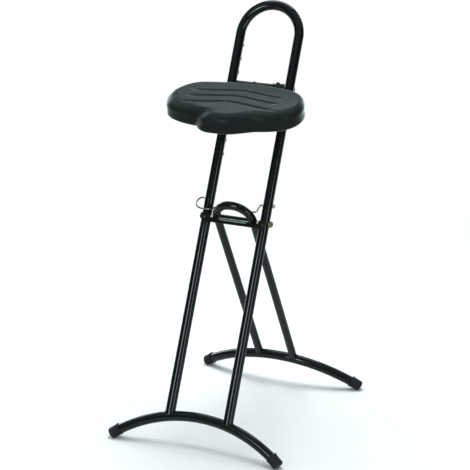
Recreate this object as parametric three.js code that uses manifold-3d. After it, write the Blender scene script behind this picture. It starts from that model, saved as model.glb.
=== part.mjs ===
// Sit-stand stool: two bent tube frames that cross at a pivot, and a saddle seat that hooks on pegs
// along the leaning handle tube. The seat stands at one of nine heights, and the stool folds flat.
// Millimetres, +Z up. The front is towards -Y. The origin is on the floor, in the middle of the feet.

import * as THREE from "three";
import { mergeVertices } from "three/addons/utils/BufferGeometryUtils.js";
import Module from "manifold-3d";

const wasm = await Module();
wasm.setup();

const { degToRad } = THREE.MathUtils;
const TURN = 2 * Math.PI;
const QUARTER_TURN = TURN / 4;

// Fits and cuts
const CONTACT_GAP = 0.3;
const RUNNING_CLEARANCE = 0.4;
const CUT_OVERRUN = 5;

// Facets
const TUBE_SIDES = 20;
const FINE_TUBE_SIDES = 40;
const ROD_SIDES = 16;
const BEND_STEPS = 18;
const FOOT_STEPS = 18;
const TURNED_SIDES = 20;
const CORNER_STEPS = 3;
const WIRE_SIDES = 8;
const WIRE_STEPS = 60;
const SEAT_STEPS = 56;
const CHANNEL_SIDES = 8;
const CHANNEL_STEPS = 18;
const PEG_SIDES = 8;
const NUT_SIDES = 6;

// Stance: the level of the pivot, and of the seat's middle. The pegs and the loop follow the seat
const PIVOT_HEIGHT = 476;
const SEAT_HEIGHT = 763;
const FRONT_LEAN = degToRad(25.15);
const REAR_LEAN = degToRad(30.8);

// Front frame: one tube bent into the handle loop, its two legs welded on a curved foot
const FRONT_TUBE_RADIUS = 11;
const FRONT_HALF_SPACING = 71;
const LOOP_ABOVE_PEGS = 25.2;

// Rear frame: one thinner tube bent into an arch at the pivot, on a curved foot of its own
const REAR_TUBE_RADIUS = 9;
const REAR_HALF_SPACING = 44.4;
const ARCH_CENTRE_UP = 3;

// Feet: tubes bent in the plane of their legs, with a rubber cap on each end
const FOOT_TUBE_RADIUS = 11;
const FRONT_FOOT_HALF_WIDTH = 205;
const REAR_FOOT_HALF_WIDTH = 203;
const FOOT_RISE = 70;
const FOOT_END_HEIGHT = 7;
const CAP_LENGTH = 26;
const CAP_WALL = 1.4;
const CAP_END_THICKNESS = 6;
const CAP_EDGE_ROUND = 3;
const CAP_LIP_LENGTH = 4;
const CAP_LIP_STEP = 0.9;

// Pivot
const AXLE_RADIUS = 4;
const AXLE_HEAD_RADIUS = 7.5;
const AXLE_HEAD_HEIGHT = 4.5;
const AXLE_END_LENGTH = 3;
const HEAD_RIM_SHARE = 0.25;
const SLEEVE_RADIUS = 8;
const SPACER_RADIUS = 6;
const WASHER_RADIUS = 8;
const WASHER_THICKNESS = 1.5;
const NUT_RADIUS = 7.2;
const NUT_THICKNESS = 6.5;

// Stop strap: a pressed bar across the front tubes that the arch leans on when the stool is open
const STRAP_THICKNESS = 4;
const STRAP_WIDTH = 10.5;
const STRAP_EYE_RADIUS = 9.5;
const STRAP_EYE_DOWN = 2;
const STRAP_SCREW_RADIUS = 2.5;
const STRAP_SCREW_HEAD_RADIUS = 7.5;
const STRAP_SCREW_HEAD_HEIGHT = 4;
const STRAP_SCREW_BITE = 5;

// Height pegs, welded on the back inner side of both handle tubes
const PEG_COUNT = 9;
const PEG_SPACING = 31.72;
const PEG_LENGTH = 9;
const PEG_RADIUS = 2.6;
const PEG_STANDING = 1.6;
const PEG_ANGLE = degToRad(60);
const SEATED_PEG = 5;

// Seat carriage: a bar in front of the tubes to lean on them, and a thicker one behind to hook on a peg
const GUIDE_BAR_RADIUS = 5;
const GUIDE_BAR_HALF_LENGTH = 91;
const HOOK_BAR_RADIUS = 8;
const HOOK_BAR_HALF_LENGTH = 76;
const HOOK_RISE = 73.5;
const GUIDE_CAP_WALL = 1.2;
const GUIDE_CAP_LENGTH = 8;
const HOOK_CAP_THICKNESS = 2;
const HOOK_CAP_EDGE = 1;
const HOOK_PLUG_RADIUS = 5.5;
const HOOK_PLUG_LENGTH = 7;
const GUIDE_SLEEVE_RADIUS = 7;
const GUIDE_SLEEVE_HALF_LENGTH = 12;
const CHEEK_THICKNESS = 4;
const CHEEK_HALF_SPACING = 24;
const GUIDE_BOSS_RADIUS = 9;
const HOOK_BOSS_RADIUS = 11.5;
const CHEEK_FRONT_REACH = 62;
const CHEEK_REAR_REACH = 68;
const CHEEK_NOSE_DEPTH = 9;
const CARRIER_HALF_WIDTH = 46;
const CARRIER_HALF_LENGTH = 66;
const CARRIER_THICKNESS = 3;
const CARRIER_CORNER = 10;
const GRIP_INNER = 31;
const GRIP_OUTER = 56;
const GRIP_WALL = 2.2;
const GRIP_THUMB_WIDTH = 6;
const GRIP_THUMB_REACH = 3;
const SEAT_SCREW_RADIUS = 3;
const SEAT_SCREW_HEAD_RADIUS = 6;
const SEAT_SCREW_HEAD_HEIGHT = 3;
const SEAT_SCREW_BITE = 6;
const SEAT_SCREW_INSET = 10;

// Saddle seat: the middle of its top stands over and ahead of the guide bar
const SEAT_TILT = degToRad(10.5);
const SEAT_ABOVE_GUIDE = 62;
const SEAT_AHEAD_OF_GUIDE = 74.4;
const SEAT_HALF_WIDTH = 158;
const SEAT_REAR_REACH = 78;
const SEAT_FRONT_REACH = 97;
const SEAT_THICKNESS = 48;
const SEAT_CROWN = 2.5;
const SEAT_BOTTOM_ROUND = 8;
const SEAT_TOP_ROUND = 20;
const SEAT_DRAW_IN = 1.6;
const NOSE_REACH = 24;
const NOSE_HALF_WIDTH = 78;
const NOSE_TOP_SHARE = 0.85;
const NOSE_SQUARENESS = 2.5;
const NOSE_SOFTNESS = 2.3;
const CHANNEL_RADIUS = 6;
const CHANNEL_DEPTH = 2.8;
const CHANNEL_HALF_LENGTH = 112;
const CHANNEL_BOW = 15;
const CHANNEL_COUNT = 3;
const CHANNEL_SPACING = 31;
const REAR_CHANNEL_BACK = 15.5;
const BOARD_SHARE = 0.8;
const BOARD_THICKNESS = 9;
const BOARD_RECESS = 6;

// Spring catch: a bent wire that turns in the right tube and clips round the left one
const WIRE_RADIUS = 1.5;
const CATCH_UP = 41;
const CATCH_DROP = 27.5;
const CATCH_SLACK = 1.4;
const CATCH_LOOP_REACH = 34;
const CATCH_NUT_RADIUS = 4.2;
const CATCH_NUT_LENGTH = 6;
const CATCH_NUT_SHOULDER = 3.6;

const PAINT = { color: 0x101416, roughness: 0.28, metalness: 0.1 };
const RUBBER = { color: 0x111313, roughness: 0.75, metalness: 0 };
const FOAM_SKIN = { color: 0x2a3131, roughness: 0.5, metalness: 0 };
const WOOD = { color: 0x6b5335, roughness: 0.8, metalness: 0 };
const BRIGHT_STEEL = { color: 0xb9bdbd, roughness: 0.3, metalness: 0.9 };
const YELLOW_ZINC = { color: 0xb8a878, roughness: 0.4, metalness: 0.8 };
const NYLON = { color: 0xc7cccb, roughness: 0.5, metalness: 0 };

/** A solid to join and cut with, from a closed geometry. */
function solid(geometry) {
  const bare = geometry.clone();
  bare.deleteAttribute("normal");
  bare.deleteAttribute("uv");
  const merged = mergeVertices(bare);
  const corners = [];
  for (let i = 0; i < merged.index.count; i += 3) {
    const [a, b, c] = [merged.index.getX(i), merged.index.getX(i + 1), merged.index.getX(i + 2)];
    if (a !== b && b !== c && c !== a) corners.push(a, b, c);
  }
  const vertProperties = new Float32Array(merged.attributes.position.array);
  const triVerts = new Uint32Array(corners);
  return new wasm.Manifold(new wasm.Mesh({ numProp: 3, vertProperties, triVerts }));
}

/** The geometry of a joined or cut solid. */
function shapeOf(body) {
  const mesh = body.getMesh();
  const geometry = new THREE.BufferGeometry();
  geometry.setAttribute("position", new THREE.BufferAttribute(mesh.vertProperties, 3));
  geometry.setIndex(new THREE.BufferAttribute(mesh.triVerts, 1));
  geometry.computeVertexNormals();
  return geometry;
}

/** One geometry less the others. */
function cut(geometry, ...tools) {
  return shapeOf(tools.reduce((body, tool) => body.subtract(solid(tool)), solid(geometry)));
}

/** Several geometries as one, fused where they meet. */
function join(first, ...others) {
  return shapeOf(others.reduce((body, other) => body.add(solid(other)), solid(first)));
}

/** A named piece with its own material. */
function piece(name, geometry, finish) {
  const mesh = new THREE.Mesh(geometry, new THREE.MeshStandardMaterial(finish));
  mesh.name = name;
  return mesh;
}

/** A place in a frame's own axes: across the stool, up its tubes, and out of its plane to the front. */
function at(across, up, forward = 0) {
  return new THREE.Vector3(across, -forward, up);
}

/** A route of stations, which keeps one long facet on a straight run. */
class Route extends THREE.Curve {
  constructor(stations) {
    super();
    this.stations = stations;
  }

  station(share) {
    return this.stations[Math.round(share * (this.stations.length - 1))];
  }

  getPointAt(share) {
    return this.station(share).point.clone();
  }

  getTangentAt(share) {
    return this.station(share).tangent.clone();
  }
}

/** Stations of an arc in the frame's plane, from one angle off the top to another. */
function arcStations(radius, centreUp, from, to, steps) {
  return Array.from({ length: steps + 1 }, (_, i) => {
    const angle = from + ((to - from) * i) / steps;
    return {
      point: at(radius * Math.sin(angle), centreUp + radius * Math.cos(angle)),
      tangent: at(Math.cos(angle), -Math.sin(angle)),
    };
  });
}

/** A round bar swept along a route. */
function sweep(route, radius, sides, steps = route.stations.length - 1) {
  const section = new THREE.Shape();
  section.absarc(0, 0, radius, 0, TURN);
  const options = { steps, curveSegments: sides / 2, extrudePath: route, bevelEnabled: false };
  return new THREE.ExtrudeGeometry(section, options);
}

/** Moves a turned shape, made round +Y, so that it starts at a place and runs along a direction. */
function aim(geometry, start, direction) {
  const up = new THREE.Vector3(0, 1, 0);
  geometry.applyQuaternion(new THREE.Quaternion().setFromUnitVectors(up, direction.clone().normalize()));
  return geometry.translate(start.x, start.y, start.z);
}

/** A turned piece from its [radius, distance] outline, from a place along a direction. */
function turned(outline, start, direction, sides = TURNED_SIDES) {
  const profile = outline.map(([radius, along]) => new THREE.Vector2(radius, along));
  return aim(new THREE.LatheGeometry(profile, sides), start, direction);
}

/** A plain round bar from one place to another. */
function rod(start, end, radius, sides = ROD_SIDES) {
  const run = end.clone().sub(start);
  const length = run.length();
  const bar = new THREE.CylinderGeometry(radius, radius, length, sides).translate(0, length / 2, 0);
  return aim(bar, start, run);
}

/** A ring with flat ends. */
function ring(outer, bore, start, end, sides = ROD_SIDES) {
  const overrun = end.clone().sub(start).setLength(CUT_OVERRUN);
  const hole = rod(start.clone().sub(overrun), end.clone().add(overrun), bore, sides);
  return cut(rod(start, end, outer, sides), hole);
}

/** Outline of a low round head that starts flat on what it holds. */
function domeOutline(radius, height, shank) {
  const outline = [[0, -shank.length], [shank.radius, -shank.length], [shank.radius, 0], [radius, 0]];
  const rim = height * HEAD_RIM_SHARE;
  for (let i = 0; i <= CORNER_STEPS; i += 1) {
    const angle = (QUARTER_TURN * i) / CORNER_STEPS;
    outline.push([radius * Math.cos(angle), rim + (height - rim) * Math.sin(angle)]);
  }
  outline[outline.length - 1][0] = 0;
  return outline;
}

/** Everything below the floor, as a frame's own axes see it. */
function floorBlock(lean, halfWidth) {
  const depth = PIVOT_HEIGHT;
  const block = new THREE.BoxGeometry(2 * halfWidth + depth, depth, depth).translate(0, 0, -depth / 2);
  return block.rotateX(lean).translate(0, 0, -PIVOT_HEIGHT / Math.cos(lean));
}

/** What a curved foot is made from: its arc, its two ends and the route of its tube. */
function footForm(lean, halfWidth) {
  const endUp = (FOOT_END_HEIGHT - PIVOT_HEIGHT) / Math.cos(lean);
  const radius = (halfWidth ** 2 + FOOT_RISE ** 2) / (2 * FOOT_RISE);
  const centreUp = endUp + FOOT_RISE - radius;
  const reach = Math.asin(halfWidth / radius);
  const tubeReach = reach - CAP_END_THICKNESS / radius;
  const stations = arcStations(radius, centreUp, -tubeReach, tubeReach, FOOT_STEPS);
  return { lean, halfWidth, radius, centreUp, reach, route: new Route(stations) };
}

/** The curved foot tube of a form, enlarged by a fit where it is used as a cutter. */
function footTube(form, fit = 0) {
  return sweep(form.route, FOOT_TUBE_RADIUS + fit, TUBE_SIDES);
}

/** Height on a foot's arc under a leg that stands off the middle. */
function footTopAt(form, across) {
  return form.centreUp + Math.sqrt(form.radius ** 2 - across ** 2);
}

/** The rubber cap on one end of a foot: a sleeve with a lip, cut flat where it stands on the floor. */
function footCap(form, side) {
  const angle = side * form.reach;
  const end = at(form.radius * Math.sin(angle), form.centreUp + form.radius * Math.cos(angle));
  const inward = at(-side * Math.cos(angle), side * Math.sin(angle));
  const outer = FOOT_TUBE_RADIUS + CONTACT_GAP + CAP_WALL;
  const outline = [[0, 0], [outer - CAP_EDGE_ROUND, 0]];
  for (let i = 1; i <= CORNER_STEPS; i += 1) {
    const turn = (QUARTER_TURN * i) / CORNER_STEPS;
    outline.push([outer - CAP_EDGE_ROUND * (1 - Math.sin(turn)), CAP_EDGE_ROUND * (1 - Math.cos(turn))]);
  }
  outline.push([outer, CAP_LENGTH - CAP_LIP_LENGTH]);
  outline.push([outer + CAP_LIP_STEP, CAP_LENGTH - CAP_LIP_LENGTH + CAP_LIP_STEP]);
  outline.push([outer + CAP_LIP_STEP, CAP_LENGTH], [0, CAP_LENGTH]);
  const cap = turned(outline, end, inward);
  return cut(cap, footTube(form, CONTACT_GAP), floorBlock(form.lean, form.halfWidth));
}

/** A frame tube: two parallel legs joined by a half circle, standing on a curved foot. */
function bentTube(radius, halfSpacing, bendUp, form) {
  const bottom = footTopAt(form, halfSpacing);
  const stations = [
    { point: at(-halfSpacing, bottom), tangent: at(0, 1) },
    ...arcStations(halfSpacing, bendUp, -QUARTER_TURN, QUARTER_TURN, BEND_STEPS),
    { point: at(halfSpacing, bottom), tangent: at(0, -1) },
  ];
  return cut(sweep(new Route(stations), radius, TUBE_SIDES), footTube(form, CONTACT_GAP));
}

const frontFoot = footForm(FRONT_LEAN, FRONT_FOOT_HALF_WIDTH);
const rearFoot = footForm(-REAR_LEAN, REAR_FOOT_HALF_WIDTH);

// Where the carriage's two bars lie, from the pivot, with the hook bar seated on its peg
const guideForward = FRONT_TUBE_RADIUS + CONTACT_GAP + GUIDE_SLEEVE_RADIUS;
const guideRise = SEAT_HEIGHT - SEAT_ABOVE_GUIDE - PIVOT_HEIGHT;
const guideUp = (guideRise - guideForward * Math.sin(FRONT_LEAN)) / Math.cos(FRONT_LEAN);
const seatedUp = guideUp + HOOK_RISE;
const seatedBack = FRONT_TUBE_RADIUS + CONTACT_GAP + HOOK_BAR_RADIUS;

// The pegs under it, and how far the hook bar swings back to pass them
const pegOut = FRONT_TUBE_RADIUS + PEG_STANDING;
const pegDepth = pegOut * Math.sin(PEG_ANGLE);
const pegTouch = PEG_RADIUS + CONTACT_GAP + HOOK_BAR_RADIUS;
const pegShoulder = seatedUp - Math.sqrt(pegTouch ** 2 - (seatedBack - pegDepth) ** 2);
const firstPegUp = pegShoulder + PEG_RADIUS - PEG_LENGTH / 2 - PEG_SPACING * SEATED_PEG;
const lastPegUp = firstPegUp + PEG_SPACING * (PEG_COUNT - 1);
const freeBack = pegDepth + pegTouch + RUNNING_CLEARANCE;
const unhookAngle = (freeBack - seatedBack) / HOOK_RISE;

// Pivot stack, from the middle out
const spacerInner = REAR_HALF_SPACING + REAR_TUBE_RADIUS + CONTACT_GAP;
const spacerOuter = FRONT_HALF_SPACING - FRONT_TUBE_RADIUS - CONTACT_GAP;
const frameOuter = FRONT_HALF_SPACING + FRONT_TUBE_RADIUS + CONTACT_GAP;
const washerOuter = frameOuter + WASHER_THICKNESS;
const nutInner = washerOuter + CONTACT_GAP;
const nutOuter = nutInner + NUT_THICKNESS;
const axleBore = AXLE_RADIUS + CONTACT_GAP;

/** A bore across the stool, through everything on the way. */
function crossBore(radius, up, from, to) {
  return rod(at(from, up), at(to, up), radius);
}

const axleCutter = crossBore(axleBore, 0, -nutOuter, nutOuter);

// The strap lies in front of the tubes, just low enough for the arch to rest on its upper edge
const strapBack = FRONT_TUBE_RADIUS + CONTACT_GAP;
const strapFront = strapBack + STRAP_THICKNESS;
const openAngle = FRONT_LEAN + REAR_LEAN;
const restDrop = REAR_TUBE_RADIUS + CONTACT_GAP - strapBack * Math.cos(openAngle);
const strapTop = -restDrop / Math.sin(openAngle);

function strapScrewOutline() {
  const shank = { radius: STRAP_SCREW_RADIUS, length: STRAP_THICKNESS + CONTACT_GAP + STRAP_SCREW_BITE };
  return domeOutline(STRAP_SCREW_HEAD_RADIUS, STRAP_SCREW_HEAD_HEIGHT, shank);
}

function strapScrewHole(side) {
  const across = side * FRONT_HALF_SPACING;
  const start = at(across, -STRAP_EYE_DOWN, strapFront + CUT_OVERRUN);
  const end = at(across, -STRAP_EYE_DOWN, FRONT_TUBE_RADIUS - STRAP_SCREW_BITE - CONTACT_GAP);
  return rod(start, end, STRAP_SCREW_RADIUS + CONTACT_GAP);
}

function stopStrap() {
  const options = { depth: STRAP_THICKNESS, bevelEnabled: false, curveSegments: ROD_SIDES };
  const place = (shape) => {
    const plate = new THREE.ExtrudeGeometry(shape, options);
    return plate.rotateX(QUARTER_TURN).translate(0, -strapBack, 0);
  };
  const band = new THREE.Shape();
  band.moveTo(-FRONT_HALF_SPACING, strapTop - STRAP_WIDTH);
  band.lineTo(FRONT_HALF_SPACING, strapTop - STRAP_WIDTH);
  band.lineTo(FRONT_HALF_SPACING, strapTop);
  band.lineTo(-FRONT_HALF_SPACING, strapTop);
  const eyes = [-1, 1].map((side) => {
    const eye = new THREE.Shape();
    return place(eye.absarc(side * FRONT_HALF_SPACING, -STRAP_EYE_DOWN, STRAP_EYE_RADIUS, 0, TURN));
  });
  return cut(join(place(band), ...eyes), strapScrewHole(-1), strapScrewHole(1));
}

/** One peg of an upright row, seated on its tube. */
function heightPeg(side, row) {
  const up = firstPegUp + PEG_SPACING * row;
  const tubeAcross = side * FRONT_HALF_SPACING;
  const below = at(tubeAcross, up - PEG_LENGTH);
  const above = at(tubeAcross, up + PEG_LENGTH);
  const tube = rod(below, above, FRONT_TUBE_RADIUS + CONTACT_GAP, FINE_TUBE_SIDES);
  const across = side * (FRONT_HALF_SPACING - pegOut * Math.cos(PEG_ANGLE));
  const centre = at(across, up, -pegOut * Math.sin(PEG_ANGLE));
  const straight = PEG_LENGTH - 2 * PEG_RADIUS;
  const peg = new THREE.CapsuleGeometry(PEG_RADIUS, straight, CORNER_STEPS, PEG_SIDES);
  return cut(peg.rotateX(QUARTER_TURN).translate(centre.x, centre.y, centre.z), tube);
}

/** The front frame: everything that the handle tube carries without moving. */
function frontFrame() {
  const frame = new THREE.Group();
  const catchBore = crossBore(WIRE_RADIUS + CONTACT_GAP, CATCH_UP, REAR_HALF_SPACING, nutOuter);
  const handle = bentTube(FRONT_TUBE_RADIUS, FRONT_HALF_SPACING, lastPegUp + LOOP_ABOVE_PEGS, frontFoot);
  const drilled = cut(handle, axleCutter, catchBore, strapScrewHole(-1), strapScrewHole(1));
  frame.add(piece("handle_frame_tube", drilled, PAINT));
  frame.add(piece("front_foot_tube", footTube(frontFoot), PAINT));
  frame.add(piece("stop_strap", stopStrap(), PAINT));
  for (const [name, side] of [["left", -1], ["right", 1]]) {
    frame.add(piece(`front_${name}_foot_cap`, footCap(frontFoot, side), RUBBER));
    for (let row = 0; row < PEG_COUNT; row += 1) {
      frame.add(piece(`${name}_height_peg_${row + 1}`, heightPeg(side, row), PAINT));
    }
    const screwSeat = at(side * FRONT_HALF_SPACING, -STRAP_EYE_DOWN, strapFront + CONTACT_GAP);
    frame.add(piece(`${name}_strap_screw`, turned(strapScrewOutline(), screwSeat, at(0, 0, 1)), PAINT));
  }
  const shank = { radius: AXLE_RADIUS, length: frameOuter + nutOuter + AXLE_END_LENGTH };
  const axleOutline = domeOutline(AXLE_HEAD_RADIUS, AXLE_HEAD_HEIGHT, shank);
  frame.add(piece("pivot_axle", turned(axleOutline, at(-frameOuter, 0), at(-1, 0)), PAINT));
  const washer = ring(WASHER_RADIUS, axleBore, at(frameOuter, 0), at(washerOuter, 0));
  frame.add(piece("pivot_washer", washer, YELLOW_ZINC));
  const nut = rod(at(nutInner, 0), at(nutOuter, 0), NUT_RADIUS, NUT_SIDES);
  const nutBore = crossBore(axleBore, 0, frameOuter, nutOuter + CUT_OVERRUN);
  frame.add(piece("pivot_nut", cut(nut, nutBore), YELLOW_ZINC));
  const catchNutOutline = [[0, 0], [CATCH_NUT_RADIUS, 0], [CATCH_NUT_RADIUS, CATCH_NUT_SHOULDER],
    [0, CATCH_NUT_LENGTH]];
  const catchNut = turned(catchNutOutline, at(frameOuter, CATCH_UP), at(1, 0));
  frame.add(piece("catch_push_nut", cut(catchNut, catchBore), YELLOW_ZINC));
  return frame;
}

/** The rear frame: an arched tube on its own curved foot, with the sleeve that turns on the axle. */
function rearFrame() {
  const frame = new THREE.Group();
  const tube = bentTube(REAR_TUBE_RADIUS, REAR_HALF_SPACING, ARCH_CENTRE_UP, rearFoot);
  frame.add(piece("rear_frame_tube", cut(tube, axleCutter), PAINT));
  frame.add(piece("rear_foot_tube", footTube(rearFoot), PAINT));
  for (const [name, side] of [["left", -1], ["right", 1]]) {
    frame.add(piece(`rear_${name}_foot_cap`, footCap(rearFoot, side), RUBBER));
  }
  const archCutter = bentTube(REAR_TUBE_RADIUS + CONTACT_GAP, REAR_HALF_SPACING, ARCH_CENTRE_UP, rearFoot);
  const sleeve = rod(at(-REAR_HALF_SPACING, 0), at(REAR_HALF_SPACING, 0), SLEEVE_RADIUS);
  frame.add(piece("axle_sleeve", cut(sleeve, archCutter, axleCutter), BRIGHT_STEEL));
  return frame;
}

/** The loose rings that keep the two frames apart on the axle. */
function spacer(side) {
  return ring(SPACER_RADIUS, axleBore, at(side * spacerInner, 0), at(side * spacerOuter, 0));
}

// The catch wire from the right tube to the left one, over the sleeve and behind the arch:
// shares of the arch's half spacing across, of the wire's drop, and of its reach round a tube
const CATCH_CROSS_SHARES = [
  [1.46, 0, 0], [1.35, 0.01, 0], [1.22, 0.08, 0.14], [1.14, 0.31, 0.14], [1.1, 0.53, 0.22], [1, 0.69, 0.26],
  [0.88, 0.68, 0.29], [0.22, 0.71, 0.36], [-0.45, 0.71, 0.4], [-0.86, 0.71, 0.42], [-1.17, 0.73, 0.44],
  [-1.27, 0.86, 0.65], [-1.4, 0.96, 0.93],
];

// Its loop in front of the left tube, past it and back behind: shares of the loop's reach,
// of the wire's drop, and of its reach round a tube
const CATCH_LOOP_SHARES = [
  [0.19, 1, 1], [0.5, 0.94, 0.86], [0.76, 0.785, 0.5], [0.92, 0.5, 0], [0.9, 0.185, -0.5],
  [0.76, -0.02, -0.86], [0.49, -0.02, -1], [0, -0.02, -1], [-0.2, -0.02, -0.98],
];

/** The spring catch: a wire that turns in the right tube and hooks round the left one. */
function catchWire() {
  const round = FRONT_TUBE_RADIUS + WIRE_RADIUS + CATCH_SLACK;
  const points = [
    at(frameOuter + CATCH_NUT_LENGTH / 2, CATCH_UP),
    ...CATCH_CROSS_SHARES.map(([across, drop, forward]) =>
      at(across * REAR_HALF_SPACING, CATCH_UP - drop * CATCH_DROP, forward * round)),
    ...CATCH_LOOP_SHARES.map(([reach, drop, forward]) =>
      at(-FRONT_HALF_SPACING - reach * CATCH_LOOP_REACH, CATCH_UP - drop * CATCH_DROP, forward * round)),
  ];
  const route = new THREE.CatmullRomCurve3(points, false, "centripetal");
  return sweep(route, WIRE_RADIUS, WIRE_SIDES, WIRE_STEPS);
}

// At rest the hook bar is swung back just clear of the pegs; tipping the seat forward hooks it.
// Places on the level carriage are [back, up] from the guide bar's axis
const guideAxis = new THREE.Vector2();
const hookPlace = new THREE.Vector2(seatedBack + guideForward, HOOK_RISE)
  .rotateAround(guideAxis, -FRONT_LEAN - unhookAngle);
const seatTop = new THREE.Vector2(-SEAT_AHEAD_OF_GUIDE, SEAT_ABOVE_GUIDE);
const seatRise = new THREE.Vector2(-Math.sin(SEAT_TILT), Math.cos(SEAT_TILT));
const seatBack = new THREE.Vector2(Math.cos(SEAT_TILT), Math.sin(SEAT_TILT));
const seatBottom = seatTop.clone().addScaledVector(seatRise, -SEAT_THICKNESS);

/** A place in the level carriage, from distances back along the seat and up from its underside. */
function seatPlace(back, rise) {
  return seatBottom.clone().addScaledVector(seatBack, back).addScaledVector(seatRise, rise);
}

const boardBottom = BOARD_RECESS - BOARD_THICKNESS;
const carrierTop = boardBottom - CONTACT_GAP;
const carrierBottom = carrierTop - CARRIER_THICKNESS;
const cheekTop = carrierBottom - CONTACT_GAP;

const guideBar = { place: guideAxis, radius: GUIDE_BAR_RADIUS, halfLength: GUIDE_BAR_HALF_LENGTH };
const hookBar = { place: hookPlace, radius: HOOK_BAR_RADIUS, halfLength: HOOK_BAR_HALF_LENGTH };

/** A place on a cross bar's axis, in the level carriage. */
function barPlace(bar, across) {
  return new THREE.Vector3(across, bar.place.x, bar.place.y);
}

/** A cheek plate: under the seat at its front, with a boss round each bar at its back. */
function cheekPlate(side) {
  const front = seatPlace(-CHEEK_FRONT_REACH, cheekTop);
  const rear = seatPlace(CHEEK_REAR_REACH, cheekTop);
  const nose = seatPlace(-CHEEK_FRONT_REACH, cheekTop - CHEEK_NOSE_DEPTH);
  const barLine = Math.atan2(hookPlace.y, hookPlace.x);
  const outline = new THREE.Shape();
  outline.moveTo(nose.x, nose.y);
  const [below, above] = [barLine - QUARTER_TURN, barLine + QUARTER_TURN];
  outline.absarc(0, 0, GUIDE_BOSS_RADIUS, -QUARTER_TURN - SEAT_TILT, below, false);
  outline.absarc(hookPlace.x, hookPlace.y, HOOK_BOSS_RADIUS, below, above, false);
  outline.lineTo(rear.x, rear.y);
  outline.lineTo(front.x, front.y);
  const options = { depth: CHEEK_THICKNESS, bevelEnabled: false, curveSegments: ROD_SIDES / 2 };
  const plate = new THREE.ExtrudeGeometry(outline, options);
  const axes = new THREE.Matrix4().makeBasis(new THREE.Vector3(0, 1, 0), new THREE.Vector3(0, 0, 1),
    new THREE.Vector3(1, 0, 0));
  plate.applyMatrix4(axes).translate(side * CHEEK_HALF_SPACING - CHEEK_THICKNESS / 2, 0, 0);
  return cut(plate, crossBar(guideBar, CONTACT_GAP), crossBar(hookBar, CONTACT_GAP));
}

/** A cross bar of the carriage, enlarged by a fit where it is used as a cutter. */
function crossBar(bar, fit = 0) {
  const [left, right] = [-1, 1].map((side) => barPlace(bar, side * (bar.halfLength + fit)));
  return rod(left, right, bar.radius + fit);
}

/** The push-on cap on one end of the guide bar. */
function guideCap(side) {
  const end = barPlace(guideBar, side * (GUIDE_BAR_HALF_LENGTH + CONTACT_GAP + GUIDE_CAP_WALL));
  const inner = GUIDE_BAR_RADIUS + CONTACT_GAP;
  const outer = inner + GUIDE_CAP_WALL;
  const outline = [[0, 0], [inner, 0], [outer, GUIDE_CAP_WALL], [outer, GUIDE_CAP_LENGTH],
    [0, GUIDE_CAP_LENGTH]];
  return cut(turned(outline, end, at(-side, 0), ROD_SIDES), crossBar(guideBar, CONTACT_GAP));
}

/** The cap on one end of the hook bar: no thicker than the bar, with a plug in the bar's open end. */
function hookCap(side) {
  const end = barPlace(hookBar, side * (HOOK_BAR_HALF_LENGTH + CONTACT_GAP));
  const outline = [[0, -HOOK_PLUG_LENGTH], [HOOK_PLUG_RADIUS, -HOOK_PLUG_LENGTH], [HOOK_PLUG_RADIUS, 0],
    [HOOK_BAR_RADIUS, 0], [HOOK_BAR_RADIUS, HOOK_CAP_THICKNESS - HOOK_CAP_EDGE],
    [HOOK_BAR_RADIUS - HOOK_CAP_EDGE, HOOK_CAP_THICKNESS], [0, HOOK_CAP_THICKNESS]];
  return turned(outline, end, at(side, 0), ROD_SIDES);
}

/** The hook bar's open end that a plug goes in. */
function plugBore(side) {
  const bottom = barPlace(hookBar, side * (HOOK_BAR_HALF_LENGTH - HOOK_PLUG_LENGTH));
  const mouth = barPlace(hookBar, side * (HOOK_BAR_HALF_LENGTH + CUT_OVERRUN));
  return rod(bottom, mouth, HOOK_PLUG_RADIUS + CONTACT_GAP);
}

/** The moulded thumb grip that lifts the hook bar off the pegs. */
function thumbGrip() {
  const radius = HOOK_BAR_RADIUS + CONTACT_GAP + GRIP_WALL;
  const [inner, ridgeEnd, outer] = [GRIP_INNER, GRIP_INNER + GRIP_THUMB_WIDTH, GRIP_OUTER]
    .map((across) => barPlace(hookBar, across));
  const body = rod(inner, outer, radius, TURNED_SIDES);
  const ridge = rod(inner, ridgeEnd, radius, TURNED_SIDES).translate(0, 0, GRIP_THUMB_REACH);
  return cut(join(body, ridge), crossBar(hookBar, CONTACT_GAP));
}

// Right half of the seat's outline from the middle of its back to the middle of its front,
// as shares of the half width and of the reach to that end
const SEAT_OUTLINE_SHARES = [
  [0, 1], [0.22, 0.98], [0.4, 0.925], [0.58, 0.86], [0.73, 0.775], [0.86, 0.585], [0.955, 0.256], [1, -0.09],
  [0.985, -0.37], [0.895, -0.64], [0.715, -0.83], [0.485, -0.94], [0.24, -0.99], [0, -1],
];

/** The seat's outline without its nose, as [across, back] points all the way round. */
function seatOutline(scale = 1) {
  const half = SEAT_OUTLINE_SHARES.map(([across, back]) => new THREE.Vector3(
    across * SEAT_HALF_WIDTH * scale, back * scale * (back > 0 ? SEAT_REAR_REACH : SEAT_FRONT_REACH), 0));
  const mirrored = half.slice(1, -1).reverse().map((point) => new THREE.Vector3(-point.x, point.y, 0));
  const curve = new THREE.CatmullRomCurve3([...half, ...mirrored], true, "centripetal");
  const spaced = curve.getSpacedPoints(SEAT_STEPS).slice(0, SEAT_STEPS);
  return spaced.map((point) => new THREE.Vector2(point.x, point.y));
}

/** How far the nose stands out of the front at a place across and at a share of the seat's height. */
function noseReach(across, heightShare) {
  const fullness = 1 - (1 - NOSE_TOP_SHARE) * heightShare ** 2;
  const away = Math.min(Math.abs(across) / (NOSE_HALF_WIDTH * fullness), 1);
  return NOSE_REACH * fullness * (1 - away ** NOSE_SQUARENESS) ** NOSE_SOFTNESS;
}

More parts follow.
